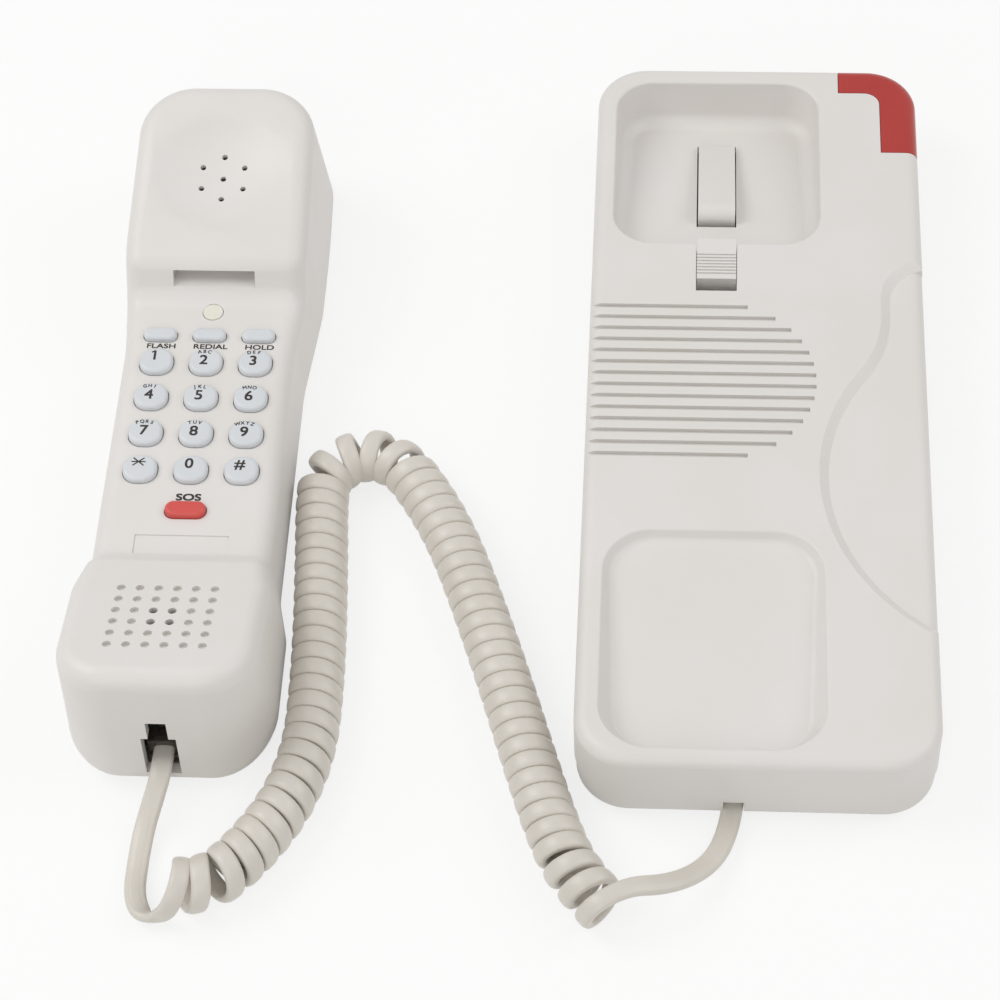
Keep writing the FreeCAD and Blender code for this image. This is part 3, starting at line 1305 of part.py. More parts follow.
def biarc_wire(nodes, lead=0):
    """A smooth wire of arcs through (point, direction) nodes, with straight ends of length lead."""
    edges = []
    if lead:
        start, heading = nodes[0]
        edges.append(Part.makeLine(start - heading * lead, start))
    for (start, leave), (end, arrive) in zip(nodes, nodes[1:]):
        gap = end - start
        both = leave + arrive
        bend = 2 * (1 - leave.dot(arrive))
        along = gap.dot(both)
        reach = (math.sqrt(along * along + bend * gap.dot(gap)) - along) / bend
        joint = (start + leave * reach + end - arrive * reach) * 0.5
        edges.append(tangent_arc(start, leave, joint))
        edges.append(tangent_arc(end, -arrive, joint, backwards=True))
    if lead:
        end, heading = nodes[-1]
        edges.append(Part.makeLine(end, end + heading * lead))
    return Part.Wire(edges)


def tangent_arc(start, heading, end, backwards=False):
    """The arc that leaves start along heading and ends at end."""
    chord = end - start
    half = chord.Length / 2
    along = Vector(chord).normalize()
    angle = math.acos(max(-1.0, min(1.0, heading.dot(along))))
    across = (heading - along * math.cos(angle)).normalize()
    middle = start + chord * 0.5 + across * (half * math.tan(angle / 2))
    return Part.Arc(end, middle, start).toShape() if backwards else Part.Arc(start, middle, end).toShape()


def wire_tube(path, diameter):
    """A round tube along a wire."""
    first = path.OrderedEdges[0]
    start = first.valueAt(first.FirstParameter)
    heading = first.tangentAt(first.FirstParameter)
    circle = Part.Wire([Part.makeCircle(diameter / 2, start, heading)])
    return path.makePipeShell([circle], True, False)


def rounded_route(points):
    """Straight runs and tangent arcs through a route's points, as (start, end, centre, turn) pieces."""
    runs = []
    at = points[0]
    radii = []
    for before, corner, after in zip(points, points[1:], points[2:]):
        arrive = (corner - before).normalize()
        leave = (after - corner).normalize()
        turn = math.acos(max(-1.0, min(1.0, arrive.dot(leave))))
        reach = 0.45 * min((corner - before).Length, (after - corner).Length)
        radius = reach / math.tan(turn / 2)
        radii.append(round(radius, 1))
        start, end = corner - arrive * reach, corner + leave * reach
        middle = corner + (leave - arrive).normalize() * (radius / math.cos(turn / 2) - radius)
        runs.append(Part.makeLine(at, start))
        runs.append(Part.Arc(start, middle, end).toShape())
        at = end
    runs.append(Part.makeLine(at, points[-1]))
    return runs, radii


def coil_nodes():
    """Quarter-turn points and directions of the curls about the coil's middle line.

    The curls wind left-handed from the bottom of the first one to the top of the last,
    and open out where the middle line bends, so that they keep their gap on the inside.
    """
    radius = (v.coil_outside - v.wire) / 2
    height = v.coil_outside / 2 + v.coil_lift
    runs, radii = rounded_route([Vector(x, y, height) for x, y in COIL_ROUTE])
    samples = []
    step = 0.25
    for edge in runs:
        bend = 1 / edge.Curve.Radius if hasattr(edge.Curve, "Radius") else 0.0
        count = max(1, round(edge.Length / step))
        for n in range(count):
            at = edge.FirstParameter + (edge.LastParameter - edge.FirstParameter) * (n + 0.5) / count
            samples.append((edge.valueAt(at), edge.tangentAt(at), bend, edge.Length / count))
    total = sum(length for *_, length in samples)
    phases, phase, done = [], 0.0, 0.0
    for point, heading, bend, length in samples:
        inside = (v.wire + v.coil_gap) / (1 - bend * radius)
        ease = max(0.0, 1 - min(done, total - done) / (3 * v.coil_end_pitch))
        pitch = max(v.coil_pitch, inside) + ease * (v.coil_end_pitch - v.coil_pitch)
        phases.append((phase, 2 * math.pi / pitch))
        phase += 2 * math.pi * length / pitch
        done += length
    turns = math.floor(phase / (2 * math.pi)) + 0.5
    stretch = 2 * math.pi * turns / phase
    nodes = []
    wanted = 0.0
    for (point, heading, bend, length), (at, rate) in zip(samples, phases):
        while wanted <= (at + rate * length) * stretch + 1e-9 and wanted <= 2 * math.pi * turns + 1e-9:
            along = (wanted / stretch - at) / rate
            right = heading.cross(Vector(0, 0, 1))
            out = right * math.sin(wanted) - Vector(0, 0, math.cos(wanted))
            round_ = right * math.cos(wanted) + Vector(0, 0, math.sin(wanted))
            spot = point + heading * (along - length / 2)
            nodes.append((spot + out * radius, (heading + round_ * (radius * rate * stretch)).normalize()))
            wanted += math.pi / 2
    return nodes, turns, radii


def coil_clearance(path, turns):
    """Least gap between one curl and the next, measured on points along the wire."""
    points = path.discretize(int(turns * GAP_STEPS))
    least = math.inf
    apart = GAP_STEPS // 2
    for i, first in enumerate(points):
        for second in points[i + apart:]:
            least = min(least, (first - second).Length)
    return least - v.wire


def cord(handset_end, base_end):
    """Two flat ends and the curly run between the plugs."""
    nodes, turns, radii = coil_nodes()
    path = biarc_wire(nodes, v.wire)
    tube = wire_tube(path, v.wire)
    print("coil turns", turns, "wire length", round(path.Length, 1), "least gap",
          round(coil_clearance(path, turns), 2))
    print("coil route radii", radii)
    print("coil volume ratio", round(tube.Volume / (math.pi * v.wire ** 2 / 4 * path.Length), 4))
    piece(shaped("coil", tube), "curly_cord")
    start, heading = nodes[0]
    meet = start - heading * (v.wire + v.cord_break)
    lead = v.cord_lead
    out = handset_end - Vector(0, lead, 0)
    first = [handset_end, out] + [Vector(*point) for point in HANDSET_TAIL] + [meet - heading * lead, meet]
    end, heading = nodes[-1]
    leave = end + heading * v.wire
    into = base_end - Vector(0, lead, 0)
    second = [leave, leave + heading * lead] + [Vector(*point) for point in BASE_TAIL] + [into, base_end]
    for label, points in (("cord_tail_handset", first), ("cord_tail_base", second)):
        runs, radii = rounded_route(points)
        wire = Part.Wire(runs)
        tail = wire_tube(wire, v.wire)
        print(label, "radii", radii, "length", round(wire.Length, 1), "volume ratio",
              round(tail.Volume / (math.pi * v.wire ** 2 / 4 * wire.Length), 4))
        piece(shaped(label, tail), label)


def write_parts():
    """Check every object and write one file per sub-part."""
    doc.recompute()
    for obj in doc.Objects:
        if "Invalid" in obj.State or "Error" in obj.State:
            raise RuntimeError(f"{obj.Name} failed: {obj.State}")
    for obj in pieces:
        if obj.Shape.isNull() or not obj.Shape.isValid() or not obj.Shape.Solids:
            raise RuntimeError(f"{obj.Label} has no sound solid")
    os.makedirs("parts", exist_ok=True)
    for obj in pieces:
        obj.Shape.exportStep(f"parts/{obj.Label}.step")
    print(len(pieces), "pieces written")


base_covers()
base_inside()
hook_parts()
base_plug_end = base_cord_fittings()
handset_shells()
handset_plug_end = handset_inside()
keypad()
cord(handset_plug_end, base_plug_end)
write_parts()
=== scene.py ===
"""Looks of a corded landline phone: cradle base, keypad handset beside it and the curly cord between them.

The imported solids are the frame. Their surfaces are copied, smoothed and given moulded finishes, the keys get
their printed legends, and the cord is drawn as the flat four-wire jacket it is.
"""

from __future__ import annotations

import json
import logging
import math
from dataclasses import dataclass, field
from enum import Enum
from typing import Any, Sequence

import bmesh
import bpy
from mathutils import Matrix, Vector

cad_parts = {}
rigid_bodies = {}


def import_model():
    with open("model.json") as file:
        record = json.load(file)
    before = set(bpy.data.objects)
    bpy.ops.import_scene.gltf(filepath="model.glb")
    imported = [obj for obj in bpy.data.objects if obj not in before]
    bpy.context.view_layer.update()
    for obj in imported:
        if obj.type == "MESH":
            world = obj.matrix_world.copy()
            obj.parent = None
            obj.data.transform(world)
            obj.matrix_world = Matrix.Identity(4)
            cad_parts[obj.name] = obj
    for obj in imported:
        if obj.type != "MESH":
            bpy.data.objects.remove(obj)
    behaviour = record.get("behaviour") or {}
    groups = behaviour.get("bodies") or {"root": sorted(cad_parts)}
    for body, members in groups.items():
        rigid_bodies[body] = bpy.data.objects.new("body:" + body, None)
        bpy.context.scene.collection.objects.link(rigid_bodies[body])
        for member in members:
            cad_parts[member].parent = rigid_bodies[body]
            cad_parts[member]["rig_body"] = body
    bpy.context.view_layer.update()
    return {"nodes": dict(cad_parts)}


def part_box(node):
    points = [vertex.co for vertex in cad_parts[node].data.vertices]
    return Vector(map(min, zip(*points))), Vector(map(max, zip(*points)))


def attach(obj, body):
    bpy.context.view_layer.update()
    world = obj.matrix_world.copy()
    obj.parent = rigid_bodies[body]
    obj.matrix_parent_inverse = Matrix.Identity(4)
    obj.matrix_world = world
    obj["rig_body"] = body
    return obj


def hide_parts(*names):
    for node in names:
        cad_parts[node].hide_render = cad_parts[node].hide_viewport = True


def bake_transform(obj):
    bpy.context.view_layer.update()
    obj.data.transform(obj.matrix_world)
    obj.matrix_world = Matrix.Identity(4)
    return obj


# These lengths are in metres and these angles in radians. The classes hold millimetres and degrees, unless
# a size says otherwise.
MM = 0.001
SAME_POINT = 2e-6
SLIVER = 1e-7
CREASE = math.radians(26.0)
FULL_TURN = 2 * math.pi
UP = Vector((0, 0, 1))
TO_METRES = Matrix.Diagonal((MM, MM, MM, 1))
WHITE = "#ffffff"
# Middle of the cord's section, its thickness direction, and one on a plain end or zero in a curl.
Section = tuple[Vector, Vector, float]
LOG = logging.getLogger("phone")
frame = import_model()


def linear(code: str) -> tuple[float, float, float, float]:
    """Turn an sRGB hex value into a linear colour.

    Args:
        code: Six hex digits, with or without a leading hash.

    Returns:
        Red, green, blue and full alpha.
    """
    parts = [int(code.lstrip("#")[i:i + 2], 16) / 255 for i in (0, 2, 4)]
    red, green, blue = (c / 12.92 if c <= 0.04045 else ((c + 0.055) / 1.055) ** 2.4 for c in parts)
    return red, green, blue, 1.0


def add_node(tree: bpy.types.NodeTree, kind: str, settings: dict[Any, Any] | None = None,
             links: dict[Any, bpy.types.NodeSocket] | None = None) -> bpy.types.Node:
    """Add one node with its settings and incoming links.

    Args:
        tree: Node tree that gets the node.
        kind: Blender's identifier of the node type.
        settings: Attribute names, or input names or numbers, with their values.
        links: Input names or numbers, with the output socket that feeds each.

    Returns:
        The new node.
    """
    made = tree.nodes.new(kind)
    for key, value in (settings or {}).items():
        if isinstance(key, str) and hasattr(made, key):
            setattr(made, key, value)
        else:
            made.inputs[key].default_value = value
    for key, socket in (links or {}).items():
        tree.links.new(socket, made.inputs[key])
    return made


def empty_tree(owner: bpy.types.Material | bpy.types.World) -> bpy.types.NodeTree:
    """Clear the nodes of a new material or world.

    Args:
        owner: The material or world.

    Returns:
        Its empty node tree.
    """
    owner.use_nodes = True
    owner.node_tree.nodes.clear()
    return owner.node_tree


def per_metre(size_mm: float) -> float:
    """Pattern scale on Object coordinates for a feature of the given size in millimetres."""
    return 1000.0 / size_mm


def box_mm(node: str) -> tuple[Vector, Vector]:
    """Lowest and highest corner of a CAD node at rest, in millimetres."""
    low, high = (Vector(corner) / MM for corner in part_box(node))
    return low, high


@dataclass(frozen=True)
class Finish:
    """One real material, made once and shared by the pieces that are of it.

    Attributes:
        name: Name of the material.
        colour: Main colour as an sRGB hex value.
        tone: Second colour that the surface drifts towards.
        drift_mm: Size of that slow drift.
        roughness: Mean roughness.
        spread: How far the roughness wanders from its mean.
        grain_mm: Size of the surface's grain.
        relief_mm: Height of that grain.
        ior: Index of refraction.
        metallic: One for bare metal.
        transmission: Share of light that passes through.
        subsurface: Share of light that spreads inside.
        scatter_mm: How far red, green and blue spread there.
        bump: Strength with which the grain bends the light.
        ramp: Where the drift leaves the main colour and reaches the second one.
        drift_layers: Finer layers in the drift.
        grain_layers: Finer layers in the grain.
    """

    name: str
    colour: str
    tone: str
    drift_mm: float = 30.0
    roughness: float = 0.5
    spread: float = 0.06
    grain_mm: float = 0.5
    relief_mm: float = 0.01
    ior: float = 1.5
    metallic: float = 0.0
    transmission: float = 0.0
    subsurface: float = 0.0
    scatter_mm: tuple[float, float, float] = (2.0, 1.6, 1.2)
    bump: float = 0.35
    ramp: tuple[float, float] = (0.3, 0.7)
    drift_layers: float = 3.0
    grain_layers: float = 2.0

    def material(self) -> bpy.types.Material:
        """Look the material up, building its nodes the first time.

        Returns:
            The material.
        """
        made = bpy.data.materials.get(self.name)
        if made is not None:
            return made
        made = bpy.data.materials.new(self.name)
        tree = empty_tree(made)
        place = add_node(tree, "ShaderNodeTexCoord").outputs["Object"]
        slow, fine = (add_node(tree, "ShaderNodeTexNoise", {"Scale": per_metre(size), "Detail": layers},
                               {"Vector": place}).outputs["Fac"]
                      for size, layers in ((self.drift_mm, self.drift_layers),
                                           (self.grain_mm, self.grain_layers)))
        colour = add_node(tree, "ShaderNodeValToRGB", {}, {"Fac": slow})
        for stop, position, code in zip(colour.color_ramp.elements, self.ramp, (self.colour, self.tone)):
            stop.position = position
            stop.color = linear(code)
        rough = add_node(tree, "ShaderNodeMapRange",
                         {"To Min": self.roughness - self.spread, "To Max": self.roughness + self.spread},
                         {"Value": fine})
        bump = add_node(tree, "ShaderNodeBump", {"Strength": self.bump, "Distance": self.relief_mm * MM},
                        {"Height": fine})
        shader = add_node(tree, "ShaderNodeBsdfPrincipled",
                          {"Metallic": self.metallic, "Transmission Weight": self.transmission,
                           "Subsurface Weight": self.subsurface},
                          {"Base Color": colour.outputs["Color"], "Roughness": rough.outputs["Result"],
                           "Normal": bump.outputs["Normal"]})
        if not self.metallic:
            shader.inputs["IOR"].default_value = self.ior
        if self.subsurface:
            shader.inputs["Subsurface Radius"].default_value = [reach * MM for reach in self.scatter_mm]
        add_node(tree, "ShaderNodeOutputMaterial", {}, {"Surface": shader.outputs["BSDF"]})
        return made


class Finishes:
    """The finishes of this phone, each named for what it is made of.

    Grains that are too fine to show are drawn as coarse as they need to be.
    """

    # Injection-moulded ABS from a spark-eroded tool: warm white and matt, with an even grain.
    HOUSING = Finish("moulded_abs_warm_white", "#dfdbd6", "#e2dedb", roughness=0.46, grain_mm=0.45,
                     relief_mm=0.012, ior=1.53)
    # Cooler white ABS from a smoother tool: the keys look cleaner and a little glossier than the shells.
    KEY = Finish("moulded_abs_cool_white", "#d3d6d9", "#d7d9dc", drift_mm=9.0, roughness=0.38, grain_mm=0.3,
                 relief_mm=0.004, ior=1.53)
    # Red ABS from the same tool: one even colour with a satin face.
    RED_KEY = Finish("moulded_abs_red", "#cf4a44", "#d2524a", drift_mm=7.0, roughness=0.4, grain_mm=0.3,
                     relief_mm=0.004, ior=1.53)
    # Tinted acrylic lets the lamp glow through and keeps a polished face.
    LENS = Finish("tinted_acrylic_red", "#b7352f", "#bd3c35", drift_mm=14.0, roughness=0.24, spread=0.03,
                  grain_mm=0.8, relief_mm=0.002, ior=1.4, transmission=0.12)
    # Cast epoxy: glassy, and clear enough to see into.
    LED = Finish("epoxy_red", "#c23028", "#c8372e", drift_mm=4.0, roughness=0.12, spread=0.02, ior=1.55,
                 transmission=0.5)
    # Milky polycarbonate spreads the light of the indicator behind it.
    WINDOW = Finish("milky_polycarbonate", "#e6e3d6", "#e9e6da", drift_mm=3.0, roughness=0.3, spread=0.03,
                    grain_mm=0.4, relief_mm=0.002, ior=1.58, subsurface=0.25)
    # Soft PVC jacket: satin, slightly yellower than the housing.
    JACKET = Finish("soft_pvc_warm_white", "#d3cdc3", "#d8d2c9", drift_mm=18.0, roughness=0.36, spread=0.05,
                    grain_mm=0.6, relief_mm=0.006, ior=1.52, subsurface=0.08)
    # Pad-printed ink: a thin, dull, nearly black film.
    INK = Finish("pad_print_ink_black", "#221e1c", "#2a2522", drift_mm=3.0, roughness=0.62, grain_mm=0.15,
                 relief_mm=0.002)
    # Moulded rubber: dark, with hardly a highlight.
    RUBBER = Finish("moulded_rubber_grey", "#3a3938", "#434140", drift_mm=6.0, roughness=0.82, grain_mm=0.4,
                    relief_mm=0.02)
    # Moulded silicone: pale and dull.
    SILICONE = Finish("moulded_silicone", "#cfcdc8", "#d4d2cd", roughness=0.6)
    # Zinc plating on steel: a grey shine, slightly cloudy.
    STEEL = Finish("zinc_plated_steel", "#b9bbbd", "#c6c7c8", drift_mm=3.0, roughness=0.32, spread=0.08,
                   grain_mm=0.25, relief_mm=0.004, metallic=1.0)
    # A flash of gold on spring wire: a small warm glint.
    CONTACT = Finish("gold_flash_contact", "#c9a24a", "#d3ae59", drift_mm=2.0, roughness=0.25, spread=0.04,
                     metallic=1.0)
    # Solder resist: dark green with a satin coat.
    BOARD = Finish("solder_resist_green", "#24593a", "#2b6443", drift_mm=5.0, roughness=0.42, grain_mm=0.7,
                   relief_mm=0.02)
    # Moulded nylon: black with a faint sheen. The same black drawn in the screws' cross recesses is painted
    # shade.
    BLACK = Finish("moulded_nylon_black_and_recess_shade", "#1d1c1c", "#242322", drift_mm=5.0, roughness=0.5, grain_mm=0.4)
    # The plugs are clear polycarbonate; their dark tint is painted shade for how they look deep in their
    # jacks.
    CLEAR = Finish("clear_polycarbonate_painted_shade", "#6b6158", "#746a60", drift_mm=5.0, roughness=0.1, spread=0.02,
                   ior=1.58, transmission=0.7)
    # Painted shade: dark discs under the open sound holes stand in for the shade deep inside them. The
    # moulding gate mark on the base's front wall is drawn in the same dark finish.
    HOLE_SHADE_AND_MARK = Finish("painted_hole_shade_and_gate_mark", "#3b3733", "#46413c", drift_mm=1.0, roughness=0.9, grain_mm=0.3,
                   relief_mm=0.03)


def placed(name: str, data: bpy.types.ID) -> bpy.types.Object:
    """Put a mesh, curve, lamp or camera in the scene.

    Args:
        name: Name of the object.
        data: What the object shows.

    Returns:
        The new object, at the origin.
    """
    made = bpy.data.objects.new(name, data)
    bpy.context.scene.collection.objects.link(made)
    return made


def link(name: str, mesh: bpy.types.Mesh, finish: Finish) -> bpy.types.Object:
    """Put a mesh in the scene as a piece of one finish.

    Args:
        name: Name of the piece.
        mesh: Mesh with the piece's place in its vertices.
        finish: Finish of the whole piece.

    Returns:
        The new object, at the origin.
    """
    mesh.materials.clear()
    mesh.materials.append(finish.material())
    return placed(name, mesh)


def baked(obj: bpy.types.Object) -> bpy.types.Mesh:
    """Turn an object into a plain mesh and remove the object.

    Args:
        obj: Object with its modifiers, text or curve.

    Returns:
        Its evaluated mesh.
    """
    graph = bpy.context.evaluated_depsgraph_get()
    mesh = bpy.data.meshes.new_from_object(obj.evaluated_get(graph), depsgraph=graph)
    bpy.data.objects.remove(obj)
    return mesh


def smoothed(mesh: bpy.types.Mesh) -> bpy.types.Mesh:
    """Merge a mesh's loose triangles and shade it smooth between its creases.

    Args:
        mesh: Mesh to work on; its data is replaced.

    Returns:
        A plain mesh whose normals lean on its larger faces.
    """
    build = bmesh.new()
    build.from_mesh(mesh)
    bmesh.ops.remove_doubles(build, verts=build.verts, dist=SAME_POINT)
    bmesh.ops.dissolve_degenerate(build, edges=build.edges, dist=SLIVER)
    for face in build.faces:
        face.smooth = True
    for edge in build.edges:
        edge.smooth = edge.is_manifold and edge.calc_face_angle(0.0) < CREASE
    build.to_mesh(mesh)
    build.free()
    holder = placed("smoothing", mesh)
    weigh = holder.modifiers.new("lean_on_large_faces", "WEIGHTED_NORMAL")
    weigh.keep_sharp = True
    weigh.mode = "FACE_AREA"
    return baked(holder)


def dressed(node: str, finish: Finish, pushed_by: str = "") -> bpy.types.Object:
    """Show a CAD node through a smooth copy of its surface.

    Args:
        node: Name of the CAD node.
        finish: Finish of the copy.
        pushed_by: Body that presses on the top of a springy piece, if any; such a copy is left fixed in place
            and rides on no body.

    Returns:
        The copy in the node's place, riding on the node's body unless a body presses on it.
    """
    source = frame["nodes"][node]
    made = link(f"{node}_surface", smoothed(source.data.copy()), finish)
    if pushed_by:
        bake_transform(made)
    else:
        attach(made, source["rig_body"])
    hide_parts(node)
    LOG.info("%s dressed in %s", node, finish.name)
    return made


class Form(Enum):
    """Form of one copy of a repeated feature."""

    DISC = "disc"
    CROSS = "cross"


@dataclass
class Repeat:
    """A small feature that Geometry Nodes repeats at given places.

    Attributes:
        name: Name of the finished piece.
        form: Form of one copy.
        places: Middle of each copy, in millimetres of the layout's own frame.
        radius_mm: Half width of one copy.
        depth_mm: Height of one copy.
        finish: Finish of all copies.
        sides: Sides of one round copy.
        bar: Width of a cross's bars over its half width.
    """

    name: str
    form: Form
    places: Sequence[tuple[float, float]]
    radius_mm: float
    depth_mm: float
    finish: Finish
    sides: int = 20
    bar: float = 0.5

    def copy_mesh(self, tree: bpy.types.NodeTree, radius: bpy.types.NodeSocket,
                  depth: bpy.types.NodeSocket) -> bpy.types.NodeSocket:
        """Add the nodes that draw one copy.

        Args:
            tree: Node tree that gets them.
            radius: Half width of the copy.
            depth: Height of the copy.

        Returns:
            The copy's mesh.
        """
        if self.form is Form.DISC:
            disc = add_node(tree, "GeometryNodeMeshCylinder", {"Vertices": self.sides},
                            {"Radius": radius, "Depth": depth})
            return disc.outputs["Mesh"]
        arm, thin = (add_node(tree, "ShaderNodeMath", {"operation": "MULTIPLY", 1: share},
                              {0: radius}).outputs[0] for share in (2.0, self.bar))
        sizes = [add_node(tree, "ShaderNodeCombineXYZ", {}, {"X": x, "Y": y, "Z": depth}).outputs[0]
                 for x, y in ((arm, thin), (thin, arm))]
        bars = [add_node(tree, "GeometryNodeMeshCube", {}, {"Size": size}).outputs["Mesh"] for size in sizes]
        joined = add_node(tree, "GeometryNodeJoinGeometry", {}, {0: bars[0]})
        tree.links.new(bars[1], joined.inputs[0])
        return joined.outputs[0]

    def tree(self) -> bpy.types.NodeTree:
        """Build the node tree with the copy's sizes as named inputs.

        Returns:
            The tree.
        """
        tree = bpy.data.node_groups.new(f"{self.name}_tree", "GeometryNodeTree")
        tree.interface.new_socket("Geometry", in_out="INPUT", socket_type="NodeSocketGeometry")
        tree.interface.new_socket("Copy Radius", in_out="INPUT", socket_type="NodeSocketFloat")
        tree.interface.new_socket("Copy Depth", in_out="INPUT", socket_type="NodeSocketFloat")
        tree.interface.new_socket("Geometry", in_out="OUTPUT", socket_type="NodeSocketGeometry")
        given = add_node(tree, "NodeGroupInput").outputs
        copy = self.copy_mesh(tree, given["Copy Radius"], given["Copy Depth"])
        spots = add_node(tree, "GeometryNodeInstanceOnPoints", {},
                         {"Points": given["Geometry"], "Instance": copy})
        real = add_node(tree, "GeometryNodeRealizeInstances", {}, {"Geometry": spots.outputs["Instances"]})
        coated = add_node(tree, "GeometryNodeSetMaterial", {"Material": self.finish.material()},
                          {"Geometry": real.outputs["Geometry"]})
        add_node(tree, "NodeGroupOutput", {}, {"Geometry": coated.outputs["Geometry"]})
        return tree

    def build(self, place: Matrix, body: str) -> None:
        """Make the piece as a plain mesh.

        Args:
            place: Frame of the layout, in millimetres.
            body: CAD body that the piece rides on.
        """
        seed = bpy.data.meshes.new(f"{self.name}_seed")
        seed.from_pydata([(x * MM, y * MM, 0) for x, y in self.places], [], [])
        holder = placed(f"{self.name}_holder", seed)
        nodes = holder.modifiers.new("repeat", "NODES")
        nodes.node_group = self.tree()
        sizes = {"Copy Radius": self.radius_mm * MM, "Copy Depth": self.depth_mm * MM}
        for item in nodes.node_group.interface.items_tree:
            if item.name in sizes:
                nodes[item.identifier] = sizes[item.name]
        mesh = baked(holder)
        mesh.transform(TO_METRES @ place @ TO_METRES.inverted())
        made = link(self.name, mesh, self.finish)
        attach(made, body)
        LOG.info("%s: %d copies of a %s", self.name, len(self.places), self.form.value)


def recess(name: str, places: Sequence[tuple[float, float]], face: float, body: str) -> None:
    """Mark the cross recesses of screws whose heads look down with black crosses of painted shade.

    Args:
        name: Name of the finished piece.
        places: Middle of each screw, in millimetres.
        face: Height of the heads' faces, in millimetres.
        body: CAD body that holds the screws.
    """
    reach, depth, drop = 1.5, 0.06, 0.02
    # Painted shade: black crosses stand in for the shade inside each screw's recess.
    Repeat(name, Form.CROSS, places, reach, depth, Finishes.BLACK).build(
        Matrix.Translation((0, 0, face - drop)), body)


@dataclass(frozen=True)
class Lettering:
    """One size of print.

    Attributes:
        height: Height of the capitals in millimetres.
        stretch: Width over the font's own width.
        weight: How far the strokes are thickened, in millimetres.
    """

    height: float
    stretch: float = 1.0
    weight: float = 0.0


class Letterings:
    """The sizes of print on this phone."""

    DIGIT = Lettering(3.0, stretch=1.06, weight=0.16)
    LETTER = Lettering(1.02, weight=0.07)
    WORD = Lettering(1.5, stretch=1.3, weight=0.1)
    CALL = Lettering(2.0, stretch=1.3, weight=0.2)


@dataclass
class Printing:
    """Words and signs printed on the phone, gathered into one flat mesh for each piece.

    Attributes:
        name: Name of the finished piece.
        lift_mm: Height of the ink's face over what it is printed on.
        word_layer_mm: Step between the shifted copies that thicken a word.
        bar_layer_mm: Step between strokes that cross.
        capital: Height of the font's capitals over its size.
        bend_steps: Straight steps in each bend of a letter.
        parts: Flat meshes in millimetres on the printed plane, gathered so far.
    """

    name: str
    lift_mm: float = 0.03
    word_layer_mm: float = 0.003
    bar_layer_mm: float = 0.004
    capital: float = 0.729
    bend_steps: int = 6
    parts: list[bpy.types.Mesh] = field(default_factory=list)

    def word(self, text: str, x: float, y: float, style: Lettering, turn: float = 0.0) -> None:
        """Add a word.

        Args:
            text: The word.
            x: Middle of the word across, in millimetres.
            y: Middle of its capitals along, in millimetres.
            style: Size of the print.
            turn: Angle of the word in degrees.
        """
        data = bpy.data.curves.new("word", "FONT")
        data.body = text
        data.size = style.height / self.capital
        data.align_x = "CENTER"
        data.resolution_u = self.bend_steps
        mesh = baked(placed("word", data))
        bpy.data.curves.remove(data)
        centred = Matrix.Diagonal((style.stretch, 1, 1, 1)) @ Matrix.Translation((0, -style.height / 2, 0))
        place = Matrix.Translation((x, y, 0)) @ Matrix.Rotation(math.radians(turn), 4, "Z") @ centred
        shifts = ((-1, -1), (1, -1), (1, 1), (-1, 1), (0, 0)) if style.weight else ((0, 0),)
        half = style.weight / 2
        for layer, (across, along) in enumerate(shifts):
            copy = mesh.copy()
            shift = Matrix.Translation((across * half, along * half, layer * self.word_layer_mm))
            copy.transform(shift @ place)
            self.parts.append(copy)
        bpy.data.meshes.remove(mesh)

    def bars(self, x: float, y: float, strokes: Sequence[tuple[float, float]], thickness: float) -> None:
        """Add straight strokes that cross at one point.

        Args:
            x: Crossing point across, in millimetres.
            y: Crossing point along, in millimetres.
            strokes: Half reach across and along of each stroke.
            thickness: Thickness of the strokes.
        """
        mesh = bpy.data.meshes.new("bars")
        points, faces = [], []
        for layer, (across, along) in enumerate(strokes):
            reach = Vector((across, along, 0))
            side = Vector((-along, across, 0)).normalized() * (thickness / 2)
            lift = Vector((x, y, layer * self.bar_layer_mm))
            faces.append([len(points) + n for n in range(4)])
            points += [lift - reach - side, lift + reach - side, lift + reach + side, lift - reach + side]
        mesh.from_pydata(points, [], faces)
        self.parts.append(mesh)

    def build(self, place: Matrix, body: str) -> None:
        """Gather the words and strokes into one piece.

        Args:
            place: Frame of the printed plane, in millimetres.
            body: CAD body that carries the print.
        """
        build = bmesh.new()
        for mesh in self.parts:
            build.from_mesh(mesh)
            bpy.data.meshes.remove(mesh)
        mesh = bpy.data.meshes.new(self.name)
        build.to_mesh(mesh)
        build.free()
        mesh.transform(TO_METRES @ place @ Matrix.Translation((0, 0, self.lift_mm)))
        made = link(self.name, mesh, Finishes.INK)
        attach(made, body)
        LOG.info("%s printed", self.name)


